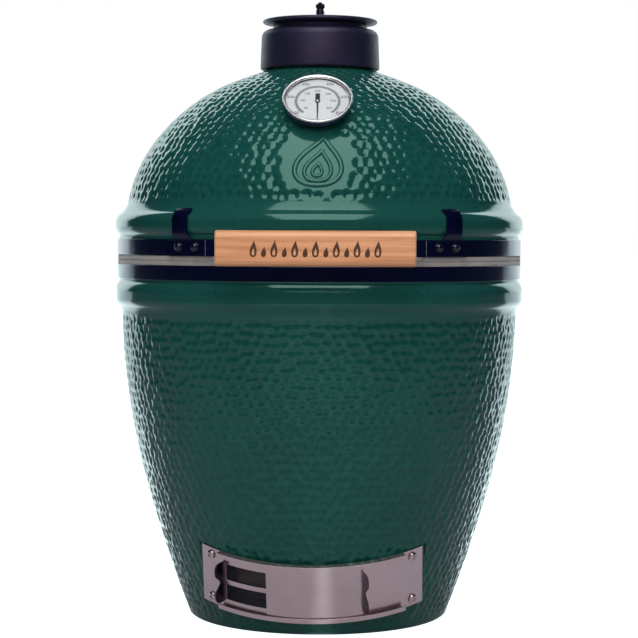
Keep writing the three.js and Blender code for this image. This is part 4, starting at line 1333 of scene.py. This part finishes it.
def draft_screws():
    head = join(pan_head(6.1, 4.0, 0.3), on_axis(-1.4, 1, 2.2, 28))
    for name, angle, h in screw_places():
        place = turned(angle, "Z") @ shifted(0, -DOOR_R - 1.5, h) @ turned(90, "X")
        stand_in(name, in_door(head.moved(place @ turned(rng.uniform(0, 90), "Z"))), STAINLESS)


def draft_doors():
    heights = (0.5 - CHANNEL, CHANNEL - 0.5)
    panel = door_part((4.4, 5.6), SLIDER_ENDS, heights)
    stand_in("draft_slider", in_door(panel), STAINLESS, bevel=0.25)
    door_pull("slider_pull", "slider", SLIDER_ENDS[1] - 0.3, 4.6, 10)
    sheet = door_part((2.7, 3.7), SCREEN_ENDS, heights)
    windows = [door_part((0, 6), (-31.6, 0.3), window) for window in WINDOWS]
    stand_in("draft_screen", in_door(cut(sheet, *windows)), STAINLESS, bevel=0.2)
    door_pull("screen_pull", "screen", SCREEN_ENDS[0] + 0.3, 2.9, -8)


def woven_gauze():
    """Wires that pass over and under each other."""
    low, high, half, mesh, lift, wire_r = -32.4 * DEG, 1.2 * DEG, 28.3, 1.6, 0.11, 0.27
    r = DOOR_R + 2.1
    columns = round((high - low) * r / mesh)
    rows = round(2 * half / mesh)
    wires = []
    for k in range(rows + 1):
        share = np.linspace(0, 1, 2 * columns + 1)
        reach = r + lift * np.cos(pi * (share * columns + k))
        wires.append(polar(reach, low + (high - low) * share, -half + 2 * half * k / rows))
    for k in range(columns + 1):
        share = np.linspace(0, 1, 2 * rows + 1)
        reach = r - lift * np.cos(pi * (share * rows + k))
        wires.append(polar(reach, low + (high - low) * k / columns, -half + 2 * half * share))
    # The wires' dark colour is painted shade.
    stand_in("draft_gauze", in_door(merged(tube(wire, wire_r, 4) for wire in wires)), GAUZE_PAINTED_SHADE)


draft_frame()
draft_screws()
draft_doors()
woven_gauze()


# ---- floor, light and camera
def stage_floor():
    """A pale floor that reaches the horizon, evenly white to the camera. In reflections its glow widens
    behind the grill, fades with distance and has a narrow streak down the middle."""
    reach = 30000
    corners = [(-reach, -reach, 0), (reach, -reach, 0), (reach, reach, 0), (-reach, reach, 0)]
    obj = placed("floor", mesh_of("floor", Shape(corners, [(0, 1, 2, 3)])))
    p = Paint("floor", 0.9)
    p.set("Base Color", (0.50, 0.485, 0.52, 1)).set("Specular IOR Level", 0.1)
    p.set("Emission Color", (0.8, 0.96, 1, 1))
    x, y, _ = p.split(p.add("NewGeometry").outputs["Position"])
    wedge = p.maths("MULTIPLY_ADD", p.maths("ABSOLUTE", x), -0.78, y)
    sweep = p.ranged(wedge, (-0.2, 0.1), (0.0, 2.5), "SMOOTHSTEP")
    aside = p.maths("MULTIPLY_ADD", y, 0.09, x)
    apart = p.maths("ABSOLUTE", p.maths("ADD", aside, 0.008))
    streak = p.ranged(apart, (0.03, 0.0), (0.0, 0.3), "SMOOTHSTEP")
    lit = p.maths("MULTIPLY_ADD", sweep, p.ranged(y, (0.3, 2.4), (1.0, 0.58)), streak)
    seen = p.add("LightPath").outputs["Is Camera Ray"]
    p.set("Emission Strength", p.add("Mix", {0: seen, 2: lit, 3: 1.3}).outputs[0])
    obj.data.materials.append(p.material)
    obj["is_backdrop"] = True


def softbox(name, place, target, size, power):
    light = bpy.data.lights.new(name, "AREA")
    light.shape = "RECTANGLE"
    light.size, light.size_y = size
    light.energy = power
    obj = placed(name, light)
    obj.location = place
    obj.rotation_euler = (Vector(target) - Vector(place)).to_track_quat("-Z", "Y").to_euler()
    obj.visible_camera = False
    return obj


DARK = 0.015
DARK_TINT = np.array((0.3, 0.65, 1.4))
PALE_TINT = np.array((0.83, 0.97, 1))


def studio_world():
    """White to the camera, and in reflections white only in a broad field behind the grill."""
    world = bpy.data.worlds.new("studio")
    bpy.context.scene.world = world
    g = Graph(world)
    g.nodes.clear()
    _, y, z = g.split(g.add("TexCoord").outputs["Generated"])
    lean = g.maths("MULTIPLY_ADD", z, 0.2, y)
    above = g.maths("MAXIMUM", g.maths("SUBTRACT", z, 0.5), 0.0)
    total = g.maths("MULTIPLY_ADD", above, -0.9, lean)
    pale = ((0.735, 0.88), (0.87, 0.86), (0.95, 0.6), (1.0, 0.48))
    stops = [(0.0, DARK * DARK_TINT), (0.695, DARK * DARK_TINT)]
    stops += [(where, value * PALE_TINT) for where, value in pale]
    strength = g.maths("MULTIPLY_ADD", z, 1.8, 2.25)
    lit = g.add("Background", {"Color": g.ramp(total, stops), "Strength": strength}).outputs[0]
    seen = g.add("Background", {"Color": (1, 1, 1, 1)}).outputs[0]
    ray = g.add("LightPath").outputs["Is Camera Ray"]
    both = g.add("MixShader", {0: ray, 1: lit, 2: seen}).outputs[0]
    g.add("OutputWorld", {"Surface": both})


def studio_camera():
    camera = bpy.data.cameras.new("camera")
    camera.lens = 119
    camera.sensor_width = 36
    camera.clip_end = 200
    camera.dof.use_dof = False
    obj = placed("camera", camera)
    azimuth, pitch, roll = 0.8 * DEG, 2.25 * DEG, 0.23
    level = cos(pitch)
    look = Vector((-sin(azimuth) * level, cos(azimuth) * level, -sin(pitch)))
    turn = look.to_track_quat("-Z", "Y").to_matrix().to_4x4() @ turned(roll, "Z")
    obj.location = (0.0405, -2.8997, 0.5207)
    obj.rotation_mode = "QUATERNION"
    obj.rotation_quaternion = turn.to_quaternion()
    bpy.context.scene.camera = obj


stage_floor()
softbox("key", (0.03, -2.03, 3.0), (0, -0.2, 0.62), (2.4, 3.5), 108)
softbox("fill", (-0.2, -2.7, 1.3), (0, 0, 0.4), (2.0, 2.0), 26).visible_glossy = False
studio_world()
studio_camera()
bpy.context.scene.view_settings.view_transform = "Standard"

seen_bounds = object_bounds()
corners = lambda bounds: [[float(v) for v in corner] for corner in bounds]
{"cad": corners(cad_bounds), "visual": corners(seen_bounds)}
